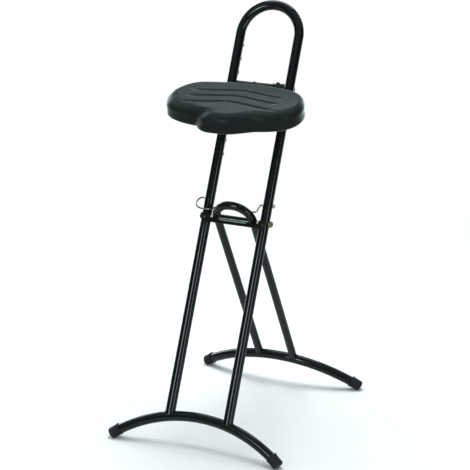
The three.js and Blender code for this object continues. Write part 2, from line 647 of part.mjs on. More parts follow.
/** One ring of the seat's skin, drawn in from the outline at a height. */
function seatRing(inset, height) {
  const heightShare = height / SEAT_THICKNESS;
  const outline = seatOutline().map((point) => {
    const reach = point.y < 0 ? noseReach(point.x, heightShare) : 0;
    return new THREE.Vector2(point.x, point.y - reach);
  });
  return outline.map((point, i) => {
    const next = outline[(i + 1) % outline.length];
    const last = outline[(i + outline.length - 1) % outline.length];
    const along = next.clone().sub(last).normalize();
    return new THREE.Vector3(point.x + along.y * inset, point.y - along.x * inset, height);
  });
}

// Rings of the crowned top, as shares of its edge
const CROWN_RING_SHARES = [0.66, 0.33];

/** The seat's skin as a closed body: rounded below, drawn-in sides, a round edge and a crowned top. */
function seatBody() {
  const rings = [];
  for (let i = 0; i <= CORNER_STEPS; i += 1) {
    const turn = (QUARTER_TURN * i) / CORNER_STEPS;
    const inset = SEAT_BOTTOM_ROUND * (1 - Math.sin(turn));
    rings.push(seatRing(inset, SEAT_BOTTOM_ROUND * (1 - Math.cos(turn))));
  }
  const edgeTop = SEAT_THICKNESS - SEAT_CROWN;
  const edgeFoot = edgeTop - SEAT_TOP_ROUND;
  rings.push(seatRing(SEAT_DRAW_IN, (SEAT_BOTTOM_ROUND + edgeFoot) / 2));
  for (let i = 0; i <= CORNER_STEPS + 1; i += 1) {
    const turn = (QUARTER_TURN * i) / (CORNER_STEPS + 1);
    const inset = SEAT_TOP_ROUND * (1 - Math.cos(turn));
    rings.push(seatRing(inset, edgeFoot + SEAT_TOP_ROUND * Math.sin(turn)));
  }
  const edge = rings[rings.length - 1];
  for (const share of CROWN_RING_SHARES) {
    rings.push(edge.map((point) => new THREE.Vector3(point.x * share, point.y * share,
      edgeTop + SEAT_CROWN * (1 - share ** 2))));
  }
  const vertices = [...rings.flat(), new THREE.Vector3(), new THREE.Vector3(0, 0, SEAT_THICKNESS)];
  const count = SEAT_STEPS;
  const bottomCentre = rings.length * count;
  const topCentre = bottomCentre + 1;
  const last = bottomCentre - count;
  const faces = [];
  for (let i = 0; i < count; i += 1) {
    const next = (i + 1) % count;
    for (let level = 0; level < last; level += count) {
      const [a, b] = [level + i, level + next];
      const [c, d] = [a + count, b + count];
      faces.push(a, c, b, b, c, d);
    }
    faces.push(bottomCentre, i, next, topCentre, last + next, last + i);
  }
  const geometry = new THREE.BufferGeometry().setFromPoints(vertices);
  geometry.setIndex(faces);
  return geometry;
}

// Points along a channel, as shares of its half length and of its bow
const CHANNEL_SHARES = [
  [-1, 1], [-0.88, 0.98], [-0.6, 0.82], [-0.28, 0.44], [0, 0], [0.28, 0.44], [0.6, 0.82], [0.88, 0.98],
  [1, 1],
];

/** A round-bottomed channel across the crowned top, bowed back in the middle. It runs out at its ends. */
function seatChannel(back) {
  const points = CHANNEL_SHARES.map(([along, bow]) => {
    const across = along * CHANNEL_HALF_LENGTH;
    const top = SEAT_THICKNESS - SEAT_CROWN * (across / SEAT_HALF_WIDTH) ** 2;
    const lift = Math.abs(along) === 1 ? 2 * CHANNEL_DEPTH : 0;
    return new THREE.Vector3(across, back - CHANNEL_BOW * bow, top - CHANNEL_DEPTH + CHANNEL_RADIUS + lift);
  });
  const route = new THREE.CatmullRomCurve3(points, false, "centripetal");
  return sweep(route, CHANNEL_RADIUS, CHANNEL_SIDES, CHANNEL_STEPS);
}

/** The board that stiffens the seat, let into its underside. */
function seatBoard(fit = 0) {
  const outline = seatOutline(BOARD_SHARE).map((point) => point.clone().setLength(point.length() + fit));
  const options = { depth: BOARD_THICKNESS + fit, bevelEnabled: false };
  const board = new THREE.ExtrudeGeometry(new THREE.Shape(outline.reverse()), options);
  return board.translate(0, 0, boardBottom);
}

/** The places of the four screws, in the seat's own axes. */
function seatScrewPlaces() {
  const across = CARRIER_HALF_WIDTH - SEAT_SCREW_INSET;
  const along = CARRIER_HALF_LENGTH - SEAT_SCREW_INSET;
  return [[-across, -along], [across, -along], [-across, along], [across, along]];
}

function seatScrewHole([across, back]) {
  const start = new THREE.Vector3(across, back, carrierBottom - CUT_OVERRUN);
  const end = new THREE.Vector3(across, back, boardBottom + SEAT_SCREW_BITE + CONTACT_GAP);
  return rod(start, end, SEAT_SCREW_RADIUS + CONTACT_GAP);
}

/** The steel plate under the board. */
function carrierPlate() {
  const outline = new THREE.Shape();
  const [w, l, r] = [CARRIER_HALF_WIDTH, CARRIER_HALF_LENGTH, CARRIER_CORNER];
  outline.absarc(w - r, l - r, r, 0, QUARTER_TURN);
  outline.absarc(r - w, l - r, r, QUARTER_TURN, 2 * QUARTER_TURN);
  outline.absarc(r - w, r - l, r, 2 * QUARTER_TURN, 3 * QUARTER_TURN);
  outline.absarc(w - r, r - l, r, 3 * QUARTER_TURN, TURN);
  const options = { depth: CARRIER_THICKNESS, bevelEnabled: false, curveSegments: CORNER_STEPS };
  const plate = new THREE.ExtrudeGeometry(outline, options).translate(0, 0, carrierBottom);
  return cut(plate, ...seatScrewPlaces().map(seatScrewHole));
}

function seatScrew([across, back]) {
  const length = boardBottom + SEAT_SCREW_BITE - carrierBottom + CONTACT_GAP;
  const shank = { radius: SEAT_SCREW_RADIUS, length };
  const head = domeOutline(SEAT_SCREW_HEAD_RADIUS, SEAT_SCREW_HEAD_HEIGHT, shank);
  const start = new THREE.Vector3(across, back, carrierBottom - CONTACT_GAP);
  return turned(head, start, at(0, -1), ROD_SIDES);
}

/** The seat with its board, plates and hook bar, level on the guide bar's axis. */
function seatAssembly() {
  const level = new THREE.Group();
  level.rotation.x = FRONT_LEAN;
  level.add(piece("left_cheek_plate", cheekPlate(-1), PAINT));
  level.add(piece("right_cheek_plate", cheekPlate(1), PAINT));
  level.add(piece("hook_bar", cut(crossBar(hookBar), plugBore(-1), plugBore(1)), PAINT));
  level.add(piece("left_hook_bar_cap", hookCap(-1), RUBBER));
  level.add(piece("right_hook_bar_cap", hookCap(1), RUBBER));
  level.add(piece("thumb_grip", thumbGrip(), RUBBER));
  const seat = new THREE.Group();
  seat.position.set(0, seatBottom.x, seatBottom.y);
  seat.rotation.x = SEAT_TILT;
  const channels = [];
  for (let row = 0; row < CHANNEL_COUNT; row += 1) {
    channels.push(seatChannel(REAR_CHANNEL_BACK - CHANNEL_SPACING * row));
  }
  seat.add(piece("seat_pad", cut(seatBody(), ...channels, seatBoard(CONTACT_GAP)), FOAM_SKIN));
  seat.add(piece("seat_board", cut(seatBoard(), ...seatScrewPlaces().map(seatScrewHole)), WOOD));
  seat.add(piece("seat_carrier_plate", carrierPlate(), PAINT));
  seatScrewPlaces().forEach((place, i) => {
    seat.add(piece(`seat_screw_${i + 1}`, seatScrew(place), BRIGHT_STEEL));
  });
  level.add(seat);
  return level;
}

/** The carriage that slides along the handle tubes: the guide bar, and the seat that tips on it. */
function carriage() {
  const group = new THREE.Group();
  group.position.copy(at(0, guideUp, guideForward));
  group.add(piece("guide_bar", crossBar(guideBar), PAINT));
  for (const [name, side] of [["left", -1], ["right", 1]]) {
    const [inner, outer] = [-1, 1].map((end) => side * FRONT_HALF_SPACING + end * GUIDE_SLEEVE_HALF_LENGTH);
    const sleeve = ring(GUIDE_SLEEVE_RADIUS, GUIDE_BAR_RADIUS + CONTACT_GAP, at(inner, 0), at(outer, 0));
    group.add(piece(`${name}_guide_bar_cap`, guideCap(side), RUBBER));
    group.add(piece(`${name}_guide_sleeve`, sleeve, RUBBER));
  }
  group.add(seatAssembly());
  return group;
}

const front = frontFrame();
front.add(piece("left_spacer", spacer(-1), NYLON), piece("right_spacer", spacer(1), NYLON));
front.add(piece("wire_catch", catchWire(), BRIGHT_STEEL));
front.add(carriage());
front.rotation.x = -FRONT_LEAN;

const rear = rearFrame();
rear.rotation.x = REAR_LEAN;

const pivot = new THREE.Group();
pivot.add(front, rear);
pivot.position.z = PIVOT_HEIGHT;

const stool = new THREE.Group();
stool.add(pivot);
stool.updateMatrixWorld(true);
const extent = new THREE.Box3().setFromObject(stool, true);
pivot.position.y = -(extent.min.y + extent.max.y) / 2;

export default stool;
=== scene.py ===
"""Looks of the sit-stand stool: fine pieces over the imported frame, their finishes, lights and camera."""

from math import asin, atan2, cos, exp, hypot, pi, radians, sin, sqrt

import bmesh
import bpy
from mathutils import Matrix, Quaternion, Vector


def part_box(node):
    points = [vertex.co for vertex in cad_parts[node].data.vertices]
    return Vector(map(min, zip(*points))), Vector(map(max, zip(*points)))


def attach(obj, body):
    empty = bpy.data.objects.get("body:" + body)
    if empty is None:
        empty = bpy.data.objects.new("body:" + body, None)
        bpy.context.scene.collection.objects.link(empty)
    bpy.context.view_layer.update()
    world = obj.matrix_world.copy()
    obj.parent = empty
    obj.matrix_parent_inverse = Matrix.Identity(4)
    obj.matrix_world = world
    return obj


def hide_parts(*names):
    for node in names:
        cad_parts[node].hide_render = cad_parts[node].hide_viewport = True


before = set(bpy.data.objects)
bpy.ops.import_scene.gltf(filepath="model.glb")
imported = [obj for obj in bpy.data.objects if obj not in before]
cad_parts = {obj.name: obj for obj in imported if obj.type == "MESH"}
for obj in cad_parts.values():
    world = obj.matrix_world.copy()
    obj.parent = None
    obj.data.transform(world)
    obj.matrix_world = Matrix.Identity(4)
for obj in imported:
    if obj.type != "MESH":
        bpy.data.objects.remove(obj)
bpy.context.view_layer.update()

MM = 0.001
TURN = 2 * pi
X_AXIS = Vector((1, 0, 0))
Y_AXIS = Vector((0, 1, 0))
SIDES = [("left", -1), ("right", 1)]

# Fineness
TUBE_SIDES = 48
TURNED_SIDES = 64
BEND_STEPS = 72
CORNER_STEPS = 8
CURVE_STEPS = 24
RING_STEPS = 96
CAP_STEPS = 6
SAME_PLACE = 1e-7
SHARP_ANGLE = radians(38)

# Frames
FRONT_LEAN = radians(25.15)
REAR_LEAN = radians(30.8)
CONTACT_GAP = 0.3 * MM
FRONT_TUBE_RADIUS = 11 * MM
FRONT_HALF_SPACING = 71 * MM
LOOP_ABOVE_PEGS = 25.2 * MM
REAR_TUBE_RADIUS = 9 * MM
PAINT_SKIN = 0.25 * MM
REAR_HALF_SPACING = 44.4 * MM
ARCH_CENTRE_UP = 1.4 * MM
LEG_END_RISE = 2 * MM

# Feet and their caps
FOOT_TUBE_RADIUS = 11 * MM
FRONT_FOOT_HALF_WIDTH = 205 * MM
REAR_FOOT_HALF_WIDTH = 203 * MM
FOOT_RISE = 70 * MM
FOOT_END_HEIGHT = 7 * MM
CAP_LENGTH = 26 * MM
CAP_WALL = 1.4 * MM
CAP_END_THICKNESS = 6 * MM
CAP_EDGE_ROUND = 3 * MM
CAP_LIP_LENGTH = 4 * MM
CAP_LIP_STEP = 0.9 * MM
CAP_GROOVES = [10 * MM, 14 * MM, 18 * MM]
CAP_GROOVE_DEPTH = 0.5 * MM
CAP_GROOVE_HALF = 0.9 * MM
CAP_GROOVE_FLOOR_HALF = 0.3 * MM

# Round heads
HEAD_EDGE_ROUND = 0.3 * MM
HEAD_RIM_SHARE = 0.25
RECESS_LIP = 0.1 * MM
RECESS_FOOT_SHARE = 0.9
RECESS_WALL_SHARE = 0.45
RECESS_FLOOR_SHARE = 0.4

# Pivot
AXLE_RADIUS = 4 * MM
AXLE_RECESS_RADIUS = 2.8 * MM
AXLE_HEAD_RADIUS = 7.5 * MM
AXLE_HEAD_HEIGHT = 4.5 * MM
AXLE_END_LENGTH = 1.2 * MM
THREAD_PITCH = 1.25 * MM
THREAD_DEPTH = 0.45 * MM
THREAD_CREST_SHARE = 0.1
SLEEVE_RADIUS = 8 * MM
SPACER_RADIUS = 6 * MM
SPACER_EDGE_ROUND = 0.5 * MM
WASHER_RADIUS = 8 * MM
WASHER_THICKNESS = 1.5 * MM
WASHER_EDGE_ROUND = 0.4 * MM
NUT_RADIUS = 7.2 * MM
NUT_THICKNESS = 5 * MM
NUT_CHAMFER_SHARE = 0.14
NUT_STEPS = 48
NUT_TURN = 0.3

# Stop strap
STRAP_THICKNESS = 4 * MM
STRAP_WIDTH = 10.5 * MM
STRAP_WAIST_WIDTH = 7 * MM
STRAP_WAIST_HALF = 31 * MM
STRAP_WAIST_RAMP = 5 * MM
STRAP_EYE_RADIUS = 9.5 * MM
STRAP_EYE_DOWN = 2 * MM
STRAP_EYE_FROM = TURN / 4 * 0.55
STRAP_EDGE_ROUND = 0.9 * MM
STRAP_SCREW_HEAD_RADIUS = 7.5 * MM
STRAP_SCREW_HEAD_HEIGHT = 4 * MM
STRAP_SCREW_RECESS_RADIUS = 2.5 * MM

# Height pegs
PEG_COUNT = 9
PEG_SPACING = 31.72 * MM
PEG_LENGTH = 9 * MM
PEG_RADIUS = 2.6 * MM
PEG_STANDING = 1.6 * MM
PEG_ANGLE = radians(60)
SEATED_PEG = 5
PEG_WELD_RADIUS = 3.6 * MM
PEG_WELD_SINK = 1.4 * MM
PEG_WELD_LENGTH = PEG_LENGTH + 2.4 * MM
PEG_SIDES = 24

# Weld beads
BEAD_RADIUS = 1.5 * MM
BEAD_RIPPLES = 26
BEAD_RIPPLE_SHARE = 0.14
BEAD_STAND_SHARE = 0.3
BEAD_LEAST_RISE = 2 * MM
BEAD_SIDES = 12
SLEEVE_BEAD_RADIUS = 1.2 * MM
SLEEVE_BEAD_RIPPLES = 20

# Carriage
BAR_EDGE_ROUND = 0.5 * MM
GUIDE_BAR_RADIUS = 5 * MM
GUIDE_BAR_HALF_LENGTH = 91 * MM
HOOK_BAR_RADIUS = 8 * MM
HOOK_BAR_HALF_LENGTH = 71 * MM
HOOK_RISE = 73.5 * MM
GUIDE_CAP_WALL = 1.2 * MM
GUIDE_CAP_LENGTH = 8 * MM
GUIDE_CAP_ROUND = 1.1 * MM
HOOK_CAP_THICKNESS = 2 * MM
HOOK_CAP_ROUND = 1 * MM
HOOK_PLUG_RADIUS = 5.5 * MM
HOOK_PLUG_LENGTH = 7 * MM
GUIDE_SLEEVE_RADIUS = 7 * MM
GUIDE_SLEEVE_HALF_LENGTH = 12 * MM
GUIDE_SLEEVE_ROUND = 1 * MM
CHEEK_THICKNESS = 4 * MM
CHEEK_HALF_SPACING = 24 * MM
GUIDE_BOSS_RADIUS = 9 * MM
HOOK_BOSS_RADIUS = 9.5 * MM
CHEEK_FRONT_REACH = 62 * MM
CHEEK_REAR_REACH = 68 * MM
CHEEK_NOSE_DEPTH = 9 * MM
CHEEK_EDGE_ROUND = 0.5 * MM
CARRIER_THICKNESS = 3 * MM
GRIP_INNER = 31 * MM
GRIP_OUTER = 56 * MM
GRIP_WALL = 2.2 * MM
GRIP_THUMB_WIDTH = 6 * MM
GRIP_THUMB_REACH = 3 * MM
GRIP_THUMB_EASE = 0.5 * MM
GRIP_RIB_HEIGHT = 0.25 * MM
GRIP_RIB_PITCH = 3 * MM
GRIP_END_LENGTH = 1.2 * MM
GRIP_END_SHARE = 0.12
GRIP_RING_SHARES = [0, 0.015, 0.04, 0.08, 0.14, 0.2, 0.24, 0.28, 0.34, 0.42, 0.5, 0.58, 0.66, 0.74, 0.82, 0.9,
                    0.95, 0.98, 1]

# Saddle seat
SEAT_TILT = radians(10.5)
SEAT_ABOVE_GUIDE = 62 * MM
SEAT_AHEAD_OF_GUIDE = 74.4 * MM
SEAT_HALF_WIDTH = 158 * MM
SEAT_REAR_REACH = 78 * MM
SEAT_FRONT_REACH = 97 * MM
SEAT_THICKNESS = 48 * MM
SEAT_CROWN = 2.5 * MM
CROWN_EASE_SHARE = 0.45
SEAT_BOTTOM_ROUND = 8 * MM
SEAT_TOP_ROUND = 20 * MM
SEAT_DRAW_IN = 0.4 * MM

# The photographed cushion isn't symmetric: it lies to the left, and its left half is longer and softer
SEAT_SHIFT = -2 * MM
SEAT_LEFT_STRETCH = 1.012
SHOULDER_FRONT = 45 * MM
SHOULDER_RUN = 60 * MM
SHOULDER_LEFT_SPREAD = 0.8
SHOULDER_RIGHT_SPREAD = 0.3
NOSE_LEFT = {"half_width": 64 * MM, "top_share": 0.45, "squareness": 4.5, "softness": 1.8}
NOSE_RIGHT = {"half_width": 85 * MM, "top_share": 0.85, "squareness": 2.5, "softness": 2.1}

# Nose, channels, board and parting line
NOSE_REACH = 24 * MM
NOSE_TOP_SHARE = 0.85
CHANNEL_DEPTH = 2.7 * MM
CHANNEL_HALF_GIRTH = 7.5 * MM
CHANNEL_HALF_LENGTH = 121 * MM
CHANNEL_RUN_OUT = 34 * MM
CHANNEL_BOW = 15 * MM
CHANNEL_APEX_SHARE = 0.2
CHANNEL_SPACING = 31 * MM
REAR_CHANNEL_BACK = 15.5 * MM
CHANNEL_COUNT = 3
CHANNEL_EDGE_RINGS = 7
PAD_SWELL = 0.4 * MM
PAD_SWELL_AWAY = 1.5 * CHANNEL_HALF_GIRTH
PAD_SWELL_REACH = 0.7 * CHANNEL_HALF_GIRTH
BOARD_SHARE = 0.8
BOARD_THICKNESS = 9 * MM
BOARD_RECESS = 6 * MM
BOARD_EDGE_ROUND = 0.6 * MM
BOARD_POINT_STEP = 3
SEAT_SCREW_COUNT = 4
PARTING_HEIGHT = 11 * MM
PARTING_STAND = 0.12 * MM
PARTING_HALF = 0.7 * MM
SEAT_AROUND = 420
SEAT_TOP_RINGS = 110
SEAT_SIDE_RINGS = 14

# Catch wire
WIRE_RADIUS = 1.75 * MM
WIRE_SIDES = 20
WIRE_STEPS = 360
CATCH_UP = 41 * MM
CATCH_DROP = 27.5 * MM
CATCH_SLACK = 1.4 * MM
CATCH_LOOP_REACH = 34 * MM
CATCH_NUT_RADIUS = 4.2 * MM
CATCH_NUT_LENGTH = 6 * MM
CATCH_NUT_SHOULDER = 3.6 * MM
CATCH_NUT_TIP_RADIUS = 2.1 * MM
CATCH_NUT_ROUND = 0.8 * MM
WIRE_END_STEPS = 3
WIRE_LEAST_RADIUS = 0.01 * MM

# Camera: fitted to the edges of the tubes in the photograph
CAMERA_AZIMUTH = radians(24.494)
CAMERA_ELEVATION = 17.451
CAMERA_ROLL = radians(0.237)
CAMERA_DISTANCE = 4.1024
CAMERA_LENS = 139.2
CAMERA_SENSOR_WIDTH = 36
CAMERA_AIM = Vector((-0.0133, -0.00248, 0.43096))

# Studio
WHITE = (1, 1, 1, 1)
LAMP_COLOUR = (0.86, 0.97, 1)
SKY_COLOUR = (0.97, 1, 1, 1)
SKY_LEVELS = (0.35, 1.25)
STUDIO_COLOUR = (0.85, 1, 1, 1)
STUDIO_RISE = (0.38, 0.62)
STUDIO_LEVELS = (0.06, 0.28)
FLOOR_COLOUR = (0.42, 0.42, 0.42, 1)
FLOOR_ROUGHNESS = 0.7
FLOOR_RADIUS = 6.0
FLOOR_DROP = 0.2 * MM
FLOOR_FADE = (0.7, 2.2)
# The floor's glow seen only in reflections is painted light, and it grows stronger behind the object
FLOOR_GLOW_COLOUR = (0.5, 0.6, 0.58, 1)
FLOOR_BEHIND = (0.7, 1.9)
FLOOR_BEHIND_LEVELS = (1, 3.2)


# Places

class FramePlane:
    """A frame's own axes: across the stool, up its tubes, and out of its plane to the front."""

    def __init__(self, origin, lean):
        self.origin = origin
        self.up = Vector((0, sin(lean), cos(lean)))
        self.forward = Vector((0, -cos(lean), sin(lean)))

    def at(self, across, up, forward=0.0):
        return self.origin + X_AXIS * across + self.up * up + self.forward * forward


def middle(node):
    low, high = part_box(node)
    return (low + high) / 2


pivot = middle("pivot_washer")
pivot.x = 0
FRONT = FramePlane(pivot, FRONT_LEAN)
REAR = FramePlane(pivot, -REAR_LEAN)


# Shapes: each is (points, faces)

def angles(start, end, steps):
    """Evenly spaced angles, both ends among them."""
    return [start + (end - start) * i / steps for i in range(steps + 1)]


def around(steps):
    """Evenly spaced angles once round."""
    return angles(0, TURN, steps)[:-1]


def circle(centre, across, side, radius, sides):
    """Points round a centre, in the plane of two directions."""
    return [centre + across * (radius * cos(a)) + side * (radius * sin(a)) for a in around(sides)]


def soft_step(value):
    """A soft rise from 0 to 1, which stays at 0 before and at 1 after."""
    value = max(0.0, min(1.0, value))
    return value * value * (3 - 2 * value)


def merged(*shapes):
    """Several shapes as one."""
    points, faces = [], []
    for some, their_faces in shapes:
        start = len(points)
        points.extend(some)
        faces.extend(tuple(start + i for i in face) for face in their_faces)
    return points, faces


def rings_to_shape(rings, closed_ends=True, joined=False):
    """A skin over rings of equal count, with flat ends or joined into a loop."""
    count = len(rings[0])
    points = [p for ring in rings for p in ring]
    faces = []
    spans = len(rings) if joined else len(rings) - 1
    for level in range(spans):
        low, high = level * count, ((level + 1) % len(rings)) * count
        for i in range(count):
            j = (i + 1) % count
            faces.append((low + i, low + j, high + j, high + i))
    if closed_ends and not joined:
        faces.append(tuple(reversed(range(count))))
        faces.append(tuple(range((len(rings) - 1) * count, len(rings) * count)))
    return points, faces


def swept(path, radius, sides=TUBE_SIDES, joined=False):
    """A round bar along a path. radius may be a function of the share along it."""
    first, last = (path[-1], path[0]) if joined else (path[0], path[-1])
    tangents = [(after - before).normalized() for before, after in zip([first, *path], [*path[1:], last])]
    spans = len(path) if joined else len(path) - 1
    normal = tangents[0].orthogonal().normalized()
    rings = []
    for i, point in enumerate(path):
        if i:
            normal = tangents[i - 1].rotation_difference(tangents[i]) @ normal
        normal = (normal - tangents[i] * normal.dot(tangents[i])).normalized()
        side = tangents[i].cross(normal)
        r = radius(i / spans) if callable(radius) else radius
        rings.append(circle(point, normal, side, r, sides))
    return rings_to_shape(rings, joined=joined)


def turned(outline, start, direction, sides=TURNED_SIDES):
    """A turned shape from its (radius, distance) outline, from a place along a direction."""
    axis = direction.normalized()
    across = axis.orthogonal().normalized()
    side = axis.cross(across)
    points, faces, rows = [], [], []
    for radius, along in outline:
        centre = start + axis * along
        if radius < SAME_PLACE:
            rows.append([len(points)] * sides)
            points.append(centre)
            continue
        rows.append(list(range(len(points), len(points) + sides)))
        points.extend(circle(centre, across, side, radius, sides))
    for low, high in zip(rows, rows[1:]):
        for i in range(sides):
            j = (i + 1) % sides
            faces.append(tuple(dict.fromkeys((low[i], low[j], high[j], high[i]))))
    return points, [face for face in faces if len(face) > 2]


def rounded(outline, radius, steps=4):
    """An outline with each inner corner rounded."""
    made = [outline[0]]
    for before, corner, after in zip(outline, outline[1:], outline[2:]):
        b, c, a = Vector(before), Vector(corner), Vector(after)
        reach = min(radius, (b - c).length / 2, (a - c).length / 2)
        start, end = c + (b - c).normalized() * reach, c + (a - c).normalized() * reach
        for i in range(steps + 1):
            t = i / steps
            made.append(tuple(start * (1 - t) ** 2 + c * (2 * t * (1 - t)) + end * t ** 2))
    made.append(outline[-1])
    return made


def collar(bore, radius, start, end, edge_round, steps=4):
    """The outline of a ring with rounded outer edges, or of a bar where its bore is zero."""
    return rounded([(bore, start), (radius, start), (radius, end), (bore, end)], edge_round, steps)


def plate(outline, thickness, place):
    """A flat plate from its outline. place turns (a, b, depth) into a point of the row frame."""
    count = len(outline)
    points = [place(a, b, 0) for a, b in outline] + [place(a, b, thickness) for a, b in outline]
    faces = [tuple(reversed(range(count))), tuple(range(count, 2 * count))]
    faces += [(i, (i + 1) % count, count + (i + 1) % count, count + i) for i in range(count)]
    return points, faces


def catmull(points, steps, closed=False):
    """Points on the centripetal curve through these points, evenly spaced."""
    count = len(points)
    spans = count if closed else count - 1
    fine = []
    for span in range(spans):
        p1, p2 = points[span], points[(span + 1) % count]
        p0 = points[span - 1] if closed or span else p1 * 2 - p2
        p3 = points[(span + 2) % count] if closed or span + 2 < count else p2 * 2 - p1
        d0, d1, d2 = ((b - a).length ** 0.5 for a, b in ((p0, p1), (p1, p2), (p2, p3)))
        m1 = ((p1 - p0) / d0 - (p2 - p0) / (d0 + d1) + (p2 - p1) / d1) * d1
        m2 = ((p2 - p1) / d1 - (p3 - p1) / (d1 + d2) + (p3 - p2) / d2) * d1
        for i in range(CURVE_STEPS):
            t = i / CURVE_STEPS
            fine.append(p1 * (2 * t ** 3 - 3 * t ** 2 + 1) + m1 * (t ** 3 - 2 * t ** 2 + t)
                        + p2 * (3 * t ** 2 - 2 * t ** 3) + m2 * (t ** 3 - t ** 2))
    fine.append(points[0] if closed else points[-1])
    reach = [0.0]
    for a, b in zip(fine, fine[1:]):
        reach.append(reach[-1] + (b - a).length)
    spaced, at = [], 0
    for i in range(steps if closed else steps + 1):
        wanted = reach[-1] * i / steps
        while at < len(reach) - 2 and reach[at + 1] < wanted:
            at += 1
        share = (wanted - reach[at]) / (reach[at + 1] - reach[at])
        spaced.append(fine[at].lerp(fine[at + 1], min(share, 1.0)))
    return spaced


# Shader nodes

class Nodes:
    """A node tree. A node's input takes a value, or the output that feeds it."""

    def __init__(self, owner):
        owner.use_nodes = True
        self.tree = owner.node_tree

    def feed(self, node, inputs):
        for name, value in inputs.items():
            if isinstance(value, bpy.types.NodeSocket):
                self.tree.links.new(value, node.inputs[name])
            else:
                node.inputs[name].default_value = value
        return node

    def new(self, kind, inputs=None, **settings):
        node = self.tree.nodes.new("ShaderNode" + kind)
        for name, value in settings.items():
            setattr(node, name, value)
        return self.feed(node, inputs or {})

    def ranged(self, value, span, levels, easing="SMOOTHSTEP"):
        """A level that rises while a value goes over its span."""
        limits = dict(zip(("From Min", "From Max", "To Min", "To Max"), (*span, *levels)))
        return self.new("MapRange", {"Value": value, **limits}, interpolation_type=easing).outputs["Result"]

    def mixed(self, share, first, second):
        """One shader, and more of the other as the share grows."""
        return self.new("MixShader", {"Fac": share, 1: first.outputs[0], 2: second.outputs[0]})


class Finish(Nodes):
    """A material in the making, and the steps that finishes share."""

    def __init__(self, name):
        self.material = bpy.data.materials.new(name)
        super().__init__(self.material)
        self.shader = self.tree.nodes["Principled BSDF"]

    def place(self, output="Object"):
        """A point's place in the row frame, in metres, or another output of its coordinates."""
        return self.new("TexCoord").outputs[output]

    def noise(self, scale, detail, stretch=None, output="Fac"):
        place = self.place()
        if stretch:
            place = self.new("Mapping", {"Vector": place, "Scale": stretch}).outputs["Vector"]
        return self.new("TexNoise", {"Vector": place, "Scale": scale, "Detail": detail}).outputs[output]

    def ramp(self, source, stops):
        """Colours or grey levels over a value, from its (value, colour or level) stops."""
        ramp = self.new("ValToRGB", {"Fac": source})
        elements = ramp.color_ramp.elements
        while len(elements) < len(stops):
            elements.new(0.5)
        for element, (at, colour) in zip(elements, stops):
            element.position = at
            element.color = (*colour, 1) if hasattr(colour, "__len__") else (colour, colour, colour, 1)
        return ramp.outputs["Color"]

    def relief(self, height, strength, distance, over=None):
        """The surface's direction with a relief on it, and on another relief where one is given."""
        bump = self.new("Bump", {"Height": height, "Strength": strength, "Distance": distance})
        return self.feed(bump, {"Normal": over} if over else {}).outputs["Normal"]

    def made(self, inputs):
        """The finished material, from its shader's inputs."""
        self.feed(self.shader, inputs)
        return self.material


# Finishes

def paint(name, dark, light, gloss, dull):
    """Sprayed enamel: faint mottle, orange peel and scuffs."""
    finish = Finish(name)
    mottle = finish.noise(scale=38, detail=5)
    scuffs = finish.noise(scale=150, detail=8, stretch=(1, 1, 0.25))
    peel = finish.noise(scale=720, detail=2)
    return finish.made({
        "Base Color": finish.ramp(mottle, [(0.32, dark), (0.7, light)]),
        "Roughness": finish.ramp(scuffs, [(0.4, gloss), (0.78, dull)]),
        "Normal": finish.relief(peel, strength=0.12, distance=0.2 * MM),
        "Specular IOR Level": 0.42,
    })


def rubber(name, dark, light):
    """Moulded rubber: matte, dusty in places, with a fine tooth."""
    finish = Finish(name)
    dust = finish.noise(scale=60, detail=6)
    tooth = finish.noise(scale=1500, detail=3)
    return finish.made({
        "Base Color": finish.ramp(dust, [(0.35, dark), (0.75, light)]),
        "Roughness": finish.ramp(dust, [(0.3, 0.55), (0.7, 0.8)]),
        "Normal": finish.relief(tooth, strength=0.25, distance=0.2 * MM),
        "Specular IOR Level": 0.35,
    })


def foam_skin(name, dark, light):
    """The skin of moulded foam: a fine pebble grain and soft satin patches."""
    finish = Finish(name)
    patches = finish.noise(scale=16, detail=6)
    swell = finish.noise(scale=28, detail=3)
    warp = finish.noise(scale=240, detail=3, output="Color")
    warped = finish.new("MixRGB", {"Fac": 0.006, "Color1": finish.place(), "Color2": warp}).outputs["Color"]
    cells = finish.new("TexVoronoi", {"Vector": warped, "Scale": 620, "Smoothness": 0.6}, feature="SMOOTH_F1")
    grain = finish.relief(cells.outputs["Distance"], strength=0.22, distance=0.35 * MM)
    return finish.made({
        "Base Color": finish.ramp(patches, [(0.3, dark), (0.72, light)]),
        "Roughness": finish.ramp(patches, [(0.3, 0.33), (0.7, 0.41)]),
        "Normal": finish.relief(swell, strength=0.12, distance=1.2 * MM, over=grain),
        "Specular IOR Level": 0.12,
        "Sheen Weight": 0.8,
        "Sheen Roughness": 0.22,
        "Sheen Tint": (0.82, 1, 0.96, 1),
    })


def metal(name, stops, gloss, dull, grain=(1, 1, 1)):
    """Plated steel: cloudy colour, and a brushed or drawn roughness."""
    finish = Finish(name)
    cloud = finish.noise(scale=110, detail=4)
    lines = finish.noise(scale=420, detail=5, stretch=grain)
    return finish.made({
        "Base Color": finish.ramp(cloud, stops),
        "Roughness": finish.ramp(lines, [(0.35, gloss), (0.7, dull)]),
        "Normal": finish.relief(lines, strength=0.1, distance=0.1 * MM),
        "Metallic": 1,
    })


def steel_with_painted_shade_top(name, painted_shade_colour, steel_colour):
    """Bare steel with its upper side painted black. This is painted shade that stands in for the dark
    reflection above, and the lower side stays bare.
    """
    finish = Finish(name)
    raggedness = 0.2
    upward = finish.new("SeparateXYZ", {"Vector": finish.place("Normal")}).outputs["Z"]
    boundary_noise = finish.noise(scale=260, detail=4)
    ragged = finish.new("Math", {0: boundary_noise, 1: raggedness, 2: upward}, operation="MULTIPLY_ADD").outputs[0]
    return finish.made({
        "Base Color": finish.ramp(ragged, [(0.38, steel_colour), (0.52, painted_shade_colour)]),
        "Metallic": finish.ramp(ragged, [(0.38, 1), (0.52, 0)]),
        "Normal": finish.relief(boundary_noise, strength=0.1, distance=0.1 * MM),
        "Roughness": 0.24,
    })


